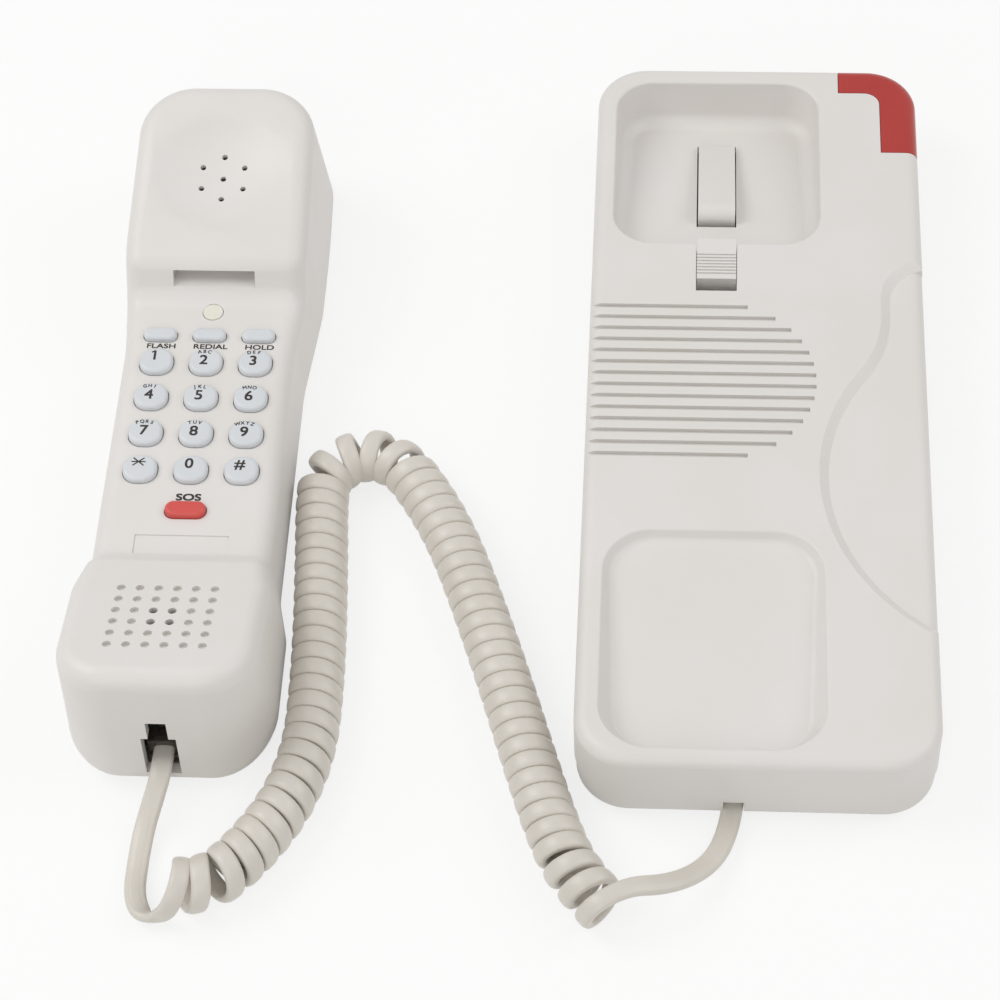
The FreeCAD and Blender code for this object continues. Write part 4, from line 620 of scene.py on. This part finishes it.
@dataclass
class Base:
    """The cradle: covers, lamp, hook lever, hang tab, feet, screws and jacks.

    Attributes:
        screws: Places of the screws under the base, in millimetres.
        contacts: Number of the line jack's contacts.
        contact_pitch: Their spacing.
        contact: Radius and length of a contact.
        contact_inset: How far a contact's middle lies behind the jack's rear face and under its top.
        gate_mark: Small moulding mark on the front wall: across, along and up.
        gate: Radius and depth of that mark.
    """

    screws: tuple[tuple[float, float], ...] = ((31, -86), (31, 66), (-34, -34), (-34, 34))
    contacts: int = 4
    contact_pitch: float = 1.02
    contact: tuple[float, float] = (0.2, 7.0)
    contact_inset: tuple[float, float] = (6.0, 2.1)
    gate_mark: tuple[float, float, float] = (5.0, -109.9, 9.6)
    gate: tuple[float, float] = (0.55, 0.1)

    def build(self) -> None:
        """Dress every piece of the base."""
        for node in ("base_top_cover", "base_bottom_cover", "hook_lever", "hang_tab"):
            dressed(node, Finishes.HOUSING)
        dressed("message_lamp_lens", Finishes.LENS)
        dressed("message_lamp_led", Finishes.LED)
        dressed("rubber_feet", Finishes.RUBBER)
        dressed("base_screws", Finishes.STEEL)
        dressed("hook_lever_pin", Finishes.STEEL)
        dressed("hook_spring", Finishes.STEEL, pushed_by="hook")
        dressed("base_circuit_board", Finishes.BOARD)
        for node in ("ringer_buzzer", "hook_switch", "line_jack", "base_cord_jack"):
            dressed(node, Finishes.BLACK)
        dressed("base_cord_plug", Finishes.CLEAR)
        self.trim()

    def trim(self) -> None:
        """Add painted shade in the screws' recesses, the line jack's contacts and the moulding mark."""
        recess("base_screw_recess_shade", self.screws, box_mm("base_screws")[0].z, "base")
        lying = Matrix.Rotation(math.pi / 2, 4, "X")
        low, high = box_mm("line_jack")
        inset, drop = self.contact_inset
        pins = [((n - (self.contacts - 1) / 2) * self.contact_pitch, 0) for n in range(self.contacts)]
        contacts = Repeat("line_jack_contacts", Form.DISC, pins, *self.contact, Finishes.CONTACT, sides=10)
        place = Matrix.Translation(((low.x + high.x) / 2, high.y - inset, high.z - drop))
        contacts.build(place @ lying, "base")
        mark = Repeat("base_gate_mark", Form.DISC, [(0, 0)], *self.gate, Finishes.HOLE_SHADE_AND_MARK)
        mark.build(Matrix.Translation(self.gate_mark) @ lying, "base")


@dataclass
class Handset:
    """The handset: shells, keypad with its legends, sound holes and the pieces inside.

    Attributes:
        middle: X of the handset's middle line, in millimetres.
        face: Height of the keypad face.
        print_shift: How far left of their keys' middles the keys' legends sit.
        digit_y: Middle of a digit along its key, with letters above it and without.
        letter_y: Middle of the letters along their key.
        letter_arc: Radius of the arc that the letters stand on.
        letter_turn: Angle between two letters, in degrees.
        star: The star sign's middle along its key and the thickness of its strokes.
        star_strokes: Half reach across and along of those strokes.
        flag: Middle across and along of the flag on the digit one, and its thickness.
        flag_stroke: Half reach of the flag.
        word_at: How far right of its key's middle a top key's word sits, and how far along.
        call_at: The same of the word over the red key.
        mouth: Middle along, height and tilt of the mouth face's sound holes.
        mouth_spots: Half spacing across and along of the open holes there.
        mouth_shade_disc: Radius of the dark disc of painted shade under a hole there, and its depth under the
            face.
        ear: Middle along, height and tilt of the ear face's dish.
        dish_depth: Depth of the dish.
        ear_ring: Radius of the ring of sound holes in the dish.
        ear_holes: Number of holes in that ring, which has one more in its middle.
        ear_shade_disc: Radius of the dark disc of painted shade under a hole there, and its depth under the
            dish.
        shade_disc_thickness: Thickness of those dark discs.
        screws: Places of the screws' head faces under the handset.
        block: Along the handset, the foot and top of the wall behind the mouth block, and the block's front.
        block_top: Height of the solid's mouth face at the top of that wall and at the front.
        block_rise: How much higher the photographed face is at those two places.
        block_push: How much nearer they lie there.
        block_foot: Height under which the mouth block keeps the solid's height.
        block_nose: Where the lower part of the block starts to reach forward.
        top_keys: Names of the keys over the digits, whose words are printed under them.
        keys: Name, sign and letters of each key below them, row by row.
    """

    middle: float = -137.2
    face: float = 24.5
    print_shift: float = 0.4
    digit_y: tuple[float, float] = (0.2, 1.4)
    letter_y: float = 2.8
    letter_arc: float = 5.2
    letter_turn: float = 14.0
    star: tuple[float, float] = (1.5, 0.34)
    star_strokes: tuple[tuple[float, float], ...] = ((1.75, 0.0), (1.35, 1.15), (1.35, -1.15))
    flag: tuple[float, float, float] = (-0.42, 2.5, 0.4)
    flag_stroke: tuple[float, float] = (0.4, 0.28)
    word_at: tuple[float, float] = (0.5, -3.2)
    call_at: tuple[float, float] = (0.3, 4.2)
    mouth: tuple[float, float, float] = (-80.6, 35.2, -17.5)
    mouth_spots: tuple[float, float] = (2.2, 2.025)
    mouth_shade_disc: tuple[float, float] = (0.98, 1.6)
    ear: tuple[float, float, float] = (55.2, 39.24, 12.6)
    dish_depth: float = 4.0
    ear_ring: float = 6.2
    ear_holes: int = 6
    ear_shade_disc: tuple[float, float] = (0.7, 0.9)
    shade_disc_thickness: float = 0.06
    screws: tuple[tuple[float, float, float], ...] = (
        (-137.2, 78.0, 3.88), (-122.2, -82.0, 0.5), (-152.2, -82.0, 0.5),
    )
    block: tuple[float, float, float] = (-55.5, -58.5, -102.6)
    block_top: tuple[float, float] = (26.2, 37.44)
    block_rise: tuple[float, float] = (2.5, 5.6)
    block_push: tuple[float, float] = (1.6, 3.0)
    block_foot: float = 8.0
    block_nose: float = -92.0
    top_keys: tuple[str, ...] = ("flash", "redial", "hold")
    keys: tuple[tuple[str, str, str], ...] = (
        ("one", "1", ""), ("two", "2", "ABC"), ("three", "3", "DEF"),
        ("four", "4", "GHI"), ("five", "5", "JKL"), ("six", "6", "MNO"),
        ("seven", "7", "PQRS"), ("eight", "8", "TUV"), ("nine", "9", "WXYZ"),
        ("star", "*", ""), ("zero", "0", ""), ("hash", "#", ""),
    )

    def build(self) -> None:
        """Dress every piece of the handset."""
        for node in ("handset_front_shell", "handset_back_shell"):
            self.raise_block(dressed(node, Finishes.HOUSING).data)
        dressed("indicator_window", Finishes.WINDOW)
        dressed("handset_screws", Finishes.STEEL)
        dressed("microphone_capsule", Finishes.STEEL)
        dressed("keypad_board", Finishes.BOARD)
        dressed("keypad_membrane", Finishes.SILICONE)
        for node in ("receiver_gasket", "microphone_boot"):
            dressed(node, Finishes.RUBBER)
        for node in ("receiver_capsule", "handset_cord_jack"):
            dressed(node, Finishes.BLACK)
        dressed("handset_cord_plug", Finishes.CLEAR)
        for name in (*self.top_keys, *(name for name, _, _ in self.keys)):
            dressed(f"key_{name}", Finishes.KEY)
        dressed("key_call", Finishes.RED_KEY)
        self.key_legends()
        self.word_legends()
        self.sound_holes()
        for n, (x, y, face) in enumerate(self.screws, start=1):
            recess(f"handset_screw_recess_{n}", [(x, y)], face, "handset")

    def raise_block(self, mesh: bpy.types.Mesh) -> None:
        """Draw the mouth block as high and as long as the photograph shows it.

        Args:
            mesh: A shell's surface, whose points near the mouth are moved.
        """
        foot, top, front = self.block
        for vertex in mesh.vertices:
            x, y, z = vertex.co / MM
            if y > foot:
                continue
            wall = min(1.0, (foot - y) / (foot - top))
            along = max(0.0, (top - y) / (top - front))
            face, rise, push = (low + along * (high - low)
                                for low, high in (self.block_top, self.block_rise, self.block_push))
            level = max(0.0, min(1.0, (z - self.block_foot) / (face - self.block_foot)))
            nose = max(0.0, (self.block_nose - y) / (self.block_nose - front)) * self.block_push[1]
            reach = level * push + (1 - level) * nose
            vertex.co = Vector((x, y - wall * reach, z + wall * level * rise)) * MM

    def key_top(self, name: str) -> Vector:
        """Middle of a key's top, in millimetres."""
        low, high = box_mm(f"key_{name}")
        return Vector(((low.x + high.x) / 2, (low.y + high.y) / 2, high.z))

    def key_legends(self) -> None:
        """Print a sign and its letters on each key."""
        for name, sign, letters in self.keys:
            x, y, top = self.key_top(name)
            x -= self.print_shift
            ink = Printing(f"legend_{name}")
            if sign == "*":
                ink.bars(x, y + self.star[0], self.star_strokes, self.star[1])
            else:
                ink.word(sign, x, y + self.digit_y[0 if letters else 1], Letterings.DIGIT)
            if sign == "1":
                across, along, thickness = self.flag
                ink.bars(x + across, y + along, (self.flag_stroke,), thickness)
            for k, letter in enumerate(letters):
                turn = (k - (len(letters) - 1) / 2) * self.letter_turn
                across = self.letter_arc * math.sin(math.radians(turn))
                drop = self.letter_arc * (1 - math.cos(math.radians(turn)))
                ink.word(letter, x + across, y + self.letter_y - drop, Letterings.LETTER, turn=-turn)
            ink.build(Matrix.Translation((0, 0, top)), f"key_{name}")

    def word_legends(self) -> None:
        """Print the words beside the keys on the handset's face."""
        ink = Printing("legend_words")
        for name in self.top_keys:
            x, y, _ = self.key_top(name)
            ink.word(name.upper(), x + self.word_at[0], y + self.word_at[1], Letterings.WORD)
        x, y, _ = self.key_top("call")
        ink.word("SOS", x + self.call_at[0], y + self.call_at[1], Letterings.CALL)
        ink.build(Matrix.Translation((0, 0, self.face)), "handset")

    def sound_holes(self) -> None:
        """Lay dark discs under the open sound holes as painted shade for the depth of the holes."""
        across, along = self.mouth_spots
        radius, depth = self.mouth_shade_disc
        spots = [(i * across, j * along) for i in (-1, 1) for j in (-1, 1)]
        # Painted shade: dark discs under the four open mouth holes stand in for the shade inside them.
        shade_discs = Repeat("mouth_hole_painted_shade", Form.DISC, spots, radius, self.shade_disc_thickness, Finishes.HOLE_SHADE_AND_MARK)
        shade_discs.build(self.frame_on(self.mouth, -depth), "handset")
        radius, depth = self.ear_shade_disc
        angles = [FULL_TURN * n / self.ear_holes for n in range(self.ear_holes)]
        ring = [(self.ear_ring * math.sin(angle), self.ear_ring * math.cos(angle)) for angle in angles]
        # Painted shade: dark discs under the ear holes stand in for the shade inside them.
        shade_discs = Repeat("ear_hole_painted_shade", Form.DISC, [*ring, (0, 0)], radius, self.shade_disc_thickness, Finishes.HOLE_SHADE_AND_MARK)
        shade_discs.build(self.frame_on(self.ear, -self.dish_depth - depth), "handset")

    def frame_on(self, face: tuple[float, float, float], lift: float) -> Matrix:
        """Frame on a tilted face of the handset.

        Args:
            face: Middle along, height and tilt of the face.
            lift: Distance above the face.

        Returns:
            The frame, in millimetres, with Z out of the face.
        """
        along, height, tilt = face
        turn = Matrix.Rotation(math.radians(tilt), 4, "X")
        return Matrix.Translation((self.middle, along, height)) @ turn @ Matrix.Translation((0, 0, lift))


def heading_at(points: Sequence[Vector], n: int) -> Vector:
    """Direction of a line of points at one of them."""
    return (points[min(n + 1, len(points) - 1)] - points[max(n - 1, 0)]).normalized()


@dataclass
class CurlyCord:
    """The flat four-wire cord, curled between two plain ends.

    Attributes:
        coil_route: The coil's middle line on the desk, as listed points.
        handset_tail: Points of the plain end at the handset, plug first.
        base_tail: Points of the plain end at the base, plug last.
        outside: Outer diameter of the curls.
        width: Width of the flat cord.
        thickness: Its thickness.
        pitch: Spacing of the curls where they lie close.
        end_pitch: Spacing of the last curl.
        fold_pitch: Widest spacing at the fold.
        eased_curls: Curls over which the spacing eases open at the base's end.
        gap: Least gap between curls on the inside of a bend.
        nesting: How far the rounded edges of two curls reach into each other there.
        tightest: Least share of the curls' spacing that a bend leaves on its inside.
        lift: Gap between the curls and the desk.
        lead: Straight stretch with which the cord enters and leaves the curls.
        first_angle: Where on the first curl the handset's end comes in, from the bottom, in degrees.
        lean: Fall of the first curl's axis towards the desk, as a slope.
        lean_turns: Turns over which that fall ends.
        slack: Share by which the first curl is wider than the others.
        slack_turns: Turns over which that share ends.
        twist: Length over which a plain end turns flat.
        flat_width: Width of a plain end.
        wires: Wires that lie side by side in the cord.
        groove: Share of the thickness that the grooves between them take on a plain end.
        flatness: Powers of a round section's cosine and sine that square it across and through.
        corners: Points round one section.
        steps: Sections in one curl.
        least_step: Least distance between two sections.
        line_order: Order of the smooth lines through the control points.
        line_steps: Points that are read from each of their stretches.
        window: Points on each side of a place over which its bend is read.
    """

    coil_route: tuple[tuple[float, float], ...] = (
        (-132.8, -135.2), (-124.5, -135.4), (-116.0, -126.6), (-107.9, -113.2), (-103.8, -98.0),
        (-103.6, -80.0), (-104.5, -60.0), (-105.9, -40.0), (-107.0, -27.0), (-107.0, -17.0),
        (-98.6, -10.0), (-88.6, -12.4), (-81.4, -22.4), (-73.6, -37.0), (-66.0, -57.5),
        (-58.6, -79.5), (-51.9, -101.0), (-45.9, -119.0), (-40.6, -130.3), (-33.4, -138.2),
    )
    handset_tail: tuple[tuple[float, float, float], ...] = (
        (-137.2, -98.6, 10.2), (-137.2, -107.0, 10.2), (-138.9, -112.4, 6.6), (-140.8, -118.6, 3.0),
        (-141.4, -127.0, 1.8), (-141.2, -135.6, 2.2), (-138.4, -141.2, 2.8),
    )
    base_tail: tuple[tuple[float, float, float], ...] = (
        (-20.6, -133.2, 9.6), (-13.8, -128.4, 6.0), (-9.0, -122.2, 3.4), (-6.4, -115.2, 2.5),
        (-5.0, -107.6, 3.3), (-5.0, -99.9, 6.05), (-5.0, -91.5, 6.05),
    )
    outside: float = 13.2
    width: float = 4.5
    thickness: float = 2.6
    pitch: float = 4.6
    end_pitch: float = 6.6
    fold_pitch: float = 6.6
    eased_curls: float = 3.0
    gap: float = 0.35
    nesting: float = 0.6
    tightest: float = 0.3
    lift: float = 0.15
    lead: tuple[float, float] = (2.6, 5.2)
    first_angle: float = 72.0
    lean: float = 0.45
    lean_turns: float = 1.3
    slack: float = 0.22
    slack_turns: float = 0.5
    twist: float = 13.0
    flat_width: float = 5.0
    wires: int = 4
    groove: float = 0.12
    flatness: tuple[float, float] = (0.82, 0.7)
    corners: int = 36
    steps: int = 24
    least_step: float = 0.45
    line_order: int = 3
    line_steps: int = 40
    window: int = 6

    @property
    def radius(self) -> float:
        """Radius of the curls, to the middle of the cord."""
        return (self.outside - self.thickness) / 2

    def spline(self, points: Sequence[Sequence[float]]) -> list[Vector]:
        """Read points along the smooth line that has the given control points.

        Args:
            points: Control points in millimetres.

        Returns:
            Close points along the line, in millimetres.
        """
        data = bpy.data.curves.new("route", "CURVE")
        data.dimensions = "3D"
        data.resolution_u = self.line_steps
        line = data.splines.new("NURBS")
        line.points.add(len(points) - 1)
        for spot, at in zip(line.points, points):
            spot.co = (*at, 1.0)
        line.order_u = self.line_order
        line.use_endpoint_u = True
        mesh = baked(placed("route", data))
        found = [vertex.co.copy() for vertex in mesh.vertices]
        bpy.data.meshes.remove(mesh)
        bpy.data.curves.remove(data)
        return found

    def spacing(self, bend: float, left: float) -> float:
        """Work out the spacing of the curls at one place.

        Args:
            bend: How sharply the coil bends there, one over the bend's radius.
            left: Length of the coil from there to its last curl.

        Returns:
            Distance from one curl to the next.
        """
        ease = max(0.0, 1 - left / (self.eased_curls * self.end_pitch))
        inside = (self.width - self.nesting + self.gap) / max(self.tightest, 1 - bend * self.radius)
        return min(max(self.pitch, inside), self.fold_pitch) + ease * (self.end_pitch - self.pitch)

    def track(self) -> list[tuple[float, Vector, Vector]]:
        """Work out how far the cord has wound at each point of the coil's middle line.

        Returns:
            Angle in radians, point and heading, from the handset to the base.
        """
        line = self.spline([(x, y, self.outside / 2 + self.lift) for x, y in self.coil_route])
        steps = [(b - a).length for a, b in zip(line, line[1:])]
        total, done = sum(steps), 0.0
        end = len(line) - 1
        window = self.window
        angle = math.radians(self.first_angle)
        made = []
        for n, step in enumerate(steps):
            ahead = line[min(n + window, end)] - line[max(n + 1 - window, 0)]
            before = line[n] - line[max(n - window, 0)] if n else ahead
            after = line[min(n + 1 + window, end)] - line[n + 1] if n + 1 < end else ahead
            bend = before.angle(after, 0.0) / (ahead.length / 2)
            made.append((angle, line[n], ahead.normalized()))
            angle += FULL_TURN * step / self.spacing(bend, total - done)
            done += step
        return [*made, (angle, line[end], made[-1][2])]

    def coil(self) -> list[tuple[Vector, Vector]]:
        """Wind the curls about the coil's middle line.

        Returns:
            Middle of each section with its outward direction, in millimetres.
        """
        track = self.track()
        first, end = track[0][0], track[-1][0]
        # The last curl ends at its top, so the turns are stretched to a whole number and a half.
        last = FULL_TURN * (math.floor(end / FULL_TURN) + 0.5)
        stretch = (last - first) / (end - first)
        count = round((last - first) / FULL_TURN * self.steps)
        found = []
        at = 0
        for k in range(count + 1):
            wound = (last - first) * k / count
            wanted = first + wound / stretch
            while at + 2 < len(track) and track[at + 1][0] < wanted:
                at += 1
            (angle_a, spot_a, heading_a), (angle_b, spot_b, heading_b) = track[at:at + 2]
            share = (wanted - angle_a) / (angle_b - angle_a)
            turns = wound / FULL_TURN
            heading = heading_a.lerp(heading_b, share)
            heading.z -= self.lean * max(0.0, 1 - turns / self.lean_turns)
            heading.normalize()
            right = heading.cross(UP).normalized()
            out = right * math.sin(first + wound) - right.cross(heading) * math.cos(first + wound)
            reach = self.radius * (1 + self.slack * max(0.0, 1 - turns / self.slack_turns))
            found.append((spot_a.lerp(spot_b, share) + out * reach, out))
        return found

    def sections(self) -> list[Section]:
        """Join the plain ends to the coil.

        Returns:
            Middle, thickness direction and plainness of each section from the handset to the base.
        """
        coil = self.coil()
        start, end = coil[0][0], coil[-1][0]
        inwards = (coil[1][0] - start).normalized()
        outwards = (end - coil[-2][0]).normalized()
        first = self.spline([*self.handset_tail, start - inwards * self.lead[0], start])
        last = self.spline([end, end + outwards * self.lead[1], *self.base_tail])
        ends = (self.plain_end(first[::-1], coil[0][1], -1)[::-1], self.plain_end(last, coil[-1][1], 1))
        joined = [*ends[0][:-1], *((spot, out, 0.0) for spot, out in coil), *ends[1][1:]]
        thinned = [joined[0]]
        for item in joined[1:]:
            if (item[0] - thinned[-1][0]).length > self.least_step:
                thinned.append(item)
        return thinned

    def plain_end(self, points: Sequence[Vector], meet: Vector, side: int) -> list[Section]:
        """Turn a plain end flat as it runs away from the curls.

        Args:
            points: Middle of each section, from the curls outwards.
            meet: Thickness direction where it meets the curls.
            side: One where that direction ends upwards, minus one where it ends downwards.

        Returns:
            Middle, thickness direction and plainness of each section.
        """
        made = []
        done = 0.0
        for n, spot in enumerate(points):
            done += (spot - points[max(n - 1, 0)]).length
            heading = heading_at(points, n)
            level = (UP - heading * UP.dot(heading)).normalized()
            share = min(1.0, done / self.twist)
            # The twist eases in and out.
            share *= share * (3 - 2 * share)
            made.append((spot, meet.lerp(level * side, share), share))
        return made

    def outline(self, plain: float) -> list[tuple[float, float]]:
        """Draw the flat, rounded section; a plain end is wider, with faint grooves between its wires.

        Args:
            plain: One on a plain end, zero in a curl.

        Returns:
            Points of the section across and through, in millimetres.
        """
        points = []
        width = self.width + plain * (self.flat_width - self.width)
        for n in range(self.corners):
            angle = FULL_TURN * n / self.corners
            cosine, sine = math.cos(angle), math.sin(angle)
            side = math.copysign(abs(cosine) ** self.flatness[0], cosine)
            through = self.thickness / 2 * math.copysign(abs(sine) ** self.flatness[1], sine)
            groove = 0.5 + 0.5 * math.cos(self.wires * math.pi * (side + 1))
            points.append((width / 2 * side, through * (1 - self.groove * plain * groove)))
        return points

    def build(self) -> None:
        sections = self.sections()
        count = self.corners
        spots = [spot for spot, _, _ in sections]
        points: list[Vector] = []
        for n, (spot, out, plain) in enumerate(sections):
            heading = heading_at(spots, n)
            out = (out - heading * out.dot(heading)).normalized()
            across = heading.cross(out)
            points += [(spot + across * a + out * t) * MM for a, t in self.outline(plain)]
        faces = []
        for ring in range(0, len(points) - count, count):
            for k in range(count):
                following = (k + 1) % count
                faces.append((ring + k, ring + following, ring + count + following, ring + count + k))
        faces.append(tuple(reversed(range(count))))
        faces.append(tuple(range(len(points) - count, len(points))))
        mesh = bpy.data.meshes.new("curly_cord_jacket")
        mesh.from_pydata(points, [], faces)
        build = bmesh.new()
        build.from_mesh(mesh)
        bmesh.ops.recalc_face_normals(build, faces=build.faces)
        build.to_mesh(mesh)
        build.free()
        mesh.shade_smooth()
        made = link("curly_cord_jacket", mesh, Finishes.JACKET)
        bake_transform(made)
        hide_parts("curly_cord", "cord_tail_handset", "cord_tail_base")


def seen(tree: bpy.types.NodeTree) -> bpy.types.NodeSocket:
    """Tell a surface that is seen, straight or in gloss or glass, from one that only lights the phone.

    Args:
        tree: Node tree of that surface.

    Returns:
        One where the surface is seen, zero elsewhere.
    """
    rays = add_node(tree, "ShaderNodeLightPath").outputs
    found = rays["Is Camera Ray"]
    for kind in ("Is Glossy Ray", "Is Transmission Ray"):
        either = add_node(tree, "ShaderNodeMath", {"operation": "MAXIMUM"}, {0: found, 1: rays[kind]})
        found = either.outputs[0]
    return found


@dataclass(frozen=True)
class Softbox:
    """One soft square lamp.

    Attributes:
        name: Name of the lamp.
        spot: Where it hangs, in metres.
        size: Side of its face in metres.
        power: Its power in watts.
    """

    name: str
    spot: tuple[float, float, float]
    size: float
    power: float

    def hang(self, aim: Sequence[float]) -> None:
        """Put the lamp in the scene.

        Args:
            aim: Point that it faces, in metres.
        """
        data = bpy.data.lights.new(self.name, "AREA")
        data.size = self.size
        data.energy = self.power
        made = placed(self.name, data)
        made.location = self.spot
        made.rotation_euler = (Vector(aim) - Vector(self.spot)).to_track_quat("-Z", "Y").to_euler()


@dataclass
class Studio:
    """White floor, soft light and the photograph's camera.

    Attributes:
        focal: Focal length over the picture's width.
        pitch: Angle down on the desk, in degrees.
        yaw: Turn about the vertical, in degrees.
        roll: Turn about the line of sight, in degrees.
        aim: Point that the line of sight passes through, in millimetres.
        distance: Distance from that point, in millimetres.
        sensor: Width of the camera's sensor, in millimetres.
        clip: Nearest and farthest distance that the camera sees, in metres.
        floor_reach: How far the floor reaches each way, in metres.
        floor_drop: How far it lies under the feet, in metres.
        floor_white: Share of plain white in what is seen of the floor; the rest keeps the shadow.
        paper: Colour of the floor.
        room: Colour of the surroundings.
        room_strength: Strength of their light.
        lamp_aim: Point that the lamps face, in metres.
        lamps: The soft lamps.
    """

    focal: float = 3.022011
    pitch: float = 52.915
    yaw: float = 5.484
    roll: float = -3.31
    aim: tuple[float, float, float] = (-62.709, -26.423, 10.0)
    distance: float = 743.544
    sensor: float = 36.0
    clip: tuple[float, float] = (0.01, 20.0)
    floor_reach: float = 4.0
    floor_drop: float = 1e-4
    floor_white: float = 0.78
    paper: str = "#f4f4f2"
    room: str = "#fbfcfc"
    room_strength: float = 0.55
    lamp_aim: tuple[float, float, float] = (-0.06, 0.0, 0.0)
    lamps: tuple[Softbox, ...] = (
        Softbox("left_softbox", (-0.75, 0.1, 0.85), 0.6, 3.6),
        Softbox("right_softbox", (0.75, 0.1, 0.85), 0.7, 2.7),
        Softbox("front_softbox", (-0.3, -0.9, 0.7), 0.7, 1.9),
    )

    def camera(self) -> None:
        """Set up the camera."""
        yaw, pitch, roll = (math.radians(angle) for angle in (self.yaw, self.pitch, self.roll))
        back = Vector((math.sin(yaw) * math.cos(pitch), -math.cos(yaw) * math.cos(pitch), math.sin(pitch)))
        right = Vector((math.cos(yaw), math.sin(yaw), 0))
        up = back.cross(right)
        turned = right * math.cos(roll) + up * math.sin(roll)
        upright = up * math.cos(roll) - right * math.sin(roll)
        data = bpy.data.cameras.new("photo_camera")
        data.sensor_width = self.sensor
        data.lens = self.focal * self.sensor
        data.clip_start, data.clip_end = self.clip
        made = placed("photo_camera", data)
        turn = Matrix((turned, upright, back)).transposed()
        made.matrix_world = Matrix.Translation((Vector(self.aim) + back * self.distance) * MM) @ turn.to_4x4()
        bpy.context.scene.camera = made

    def floor(self) -> None:
        """Lay a white floor that keeps a soft shadow."""
        material = bpy.data.materials.new("matt_white_paper")
        tree = empty_tree(material)
        share = add_node(tree, "ShaderNodeMath", {"operation": "MULTIPLY", 1: self.floor_white},
                         {0: seen(tree)})
        paper = add_node(tree, "ShaderNodeBsdfDiffuse", {"Color": linear(self.paper)})
        white = add_node(tree, "ShaderNodeEmission", {"Color": linear(WHITE), "Strength": 1.0})
        mixed = add_node(tree, "ShaderNodeMixShader", {},
                         {0: share.outputs[0], 1: paper.outputs[0], 2: white.outputs[0]})
        add_node(tree, "ShaderNodeOutputMaterial", {}, {"Surface": mixed.outputs[0]})
        mesh = bpy.data.meshes.new("floor")
        reach, low = self.floor_reach, -self.floor_drop
        corners = [(-reach, -reach, low), (reach, -reach, low), (reach, reach, low), (-reach, reach, low)]
        mesh.from_pydata(corners, [], [(0, 1, 2, 3)])
        mesh.materials.append(material)
        made = placed("floor", mesh)

    def lights(self) -> None:
        """Hang the soft lights and set the pale surroundings."""
        for lamp in self.lamps:
            lamp.hang(self.lamp_aim)
        world = bpy.data.worlds.new("pale_room")
        bpy.context.scene.world = world
        tree = empty_tree(world)
        soft = add_node(tree, "ShaderNodeBackground",
                        {"Color": linear(self.room), "Strength": self.room_strength})
        white = add_node(tree, "ShaderNodeBackground", {"Color": linear(WHITE), "Strength": 1.0})
        mixed = add_node(tree, "ShaderNodeMixShader", {},
                         {0: seen(tree), 1: soft.outputs[0], 2: white.outputs[0]})
        add_node(tree, "ShaderNodeOutputWorld", {}, {"Surface": mixed.outputs[0]})
        bpy.context.scene.view_settings.view_transform = "Standard"

    def build(self) -> None:
        """Set up camera, floor and light."""
        self.camera()
        self.floor()
        self.lights()


def main() -> None:
    """Set up the studio and dress the phone."""
    logging.basicConfig(level=logging.INFO)
    Studio().build()
    CurlyCord().build()
    Base().build()
    Handset().build()


if __name__ == "__main__":
    main()
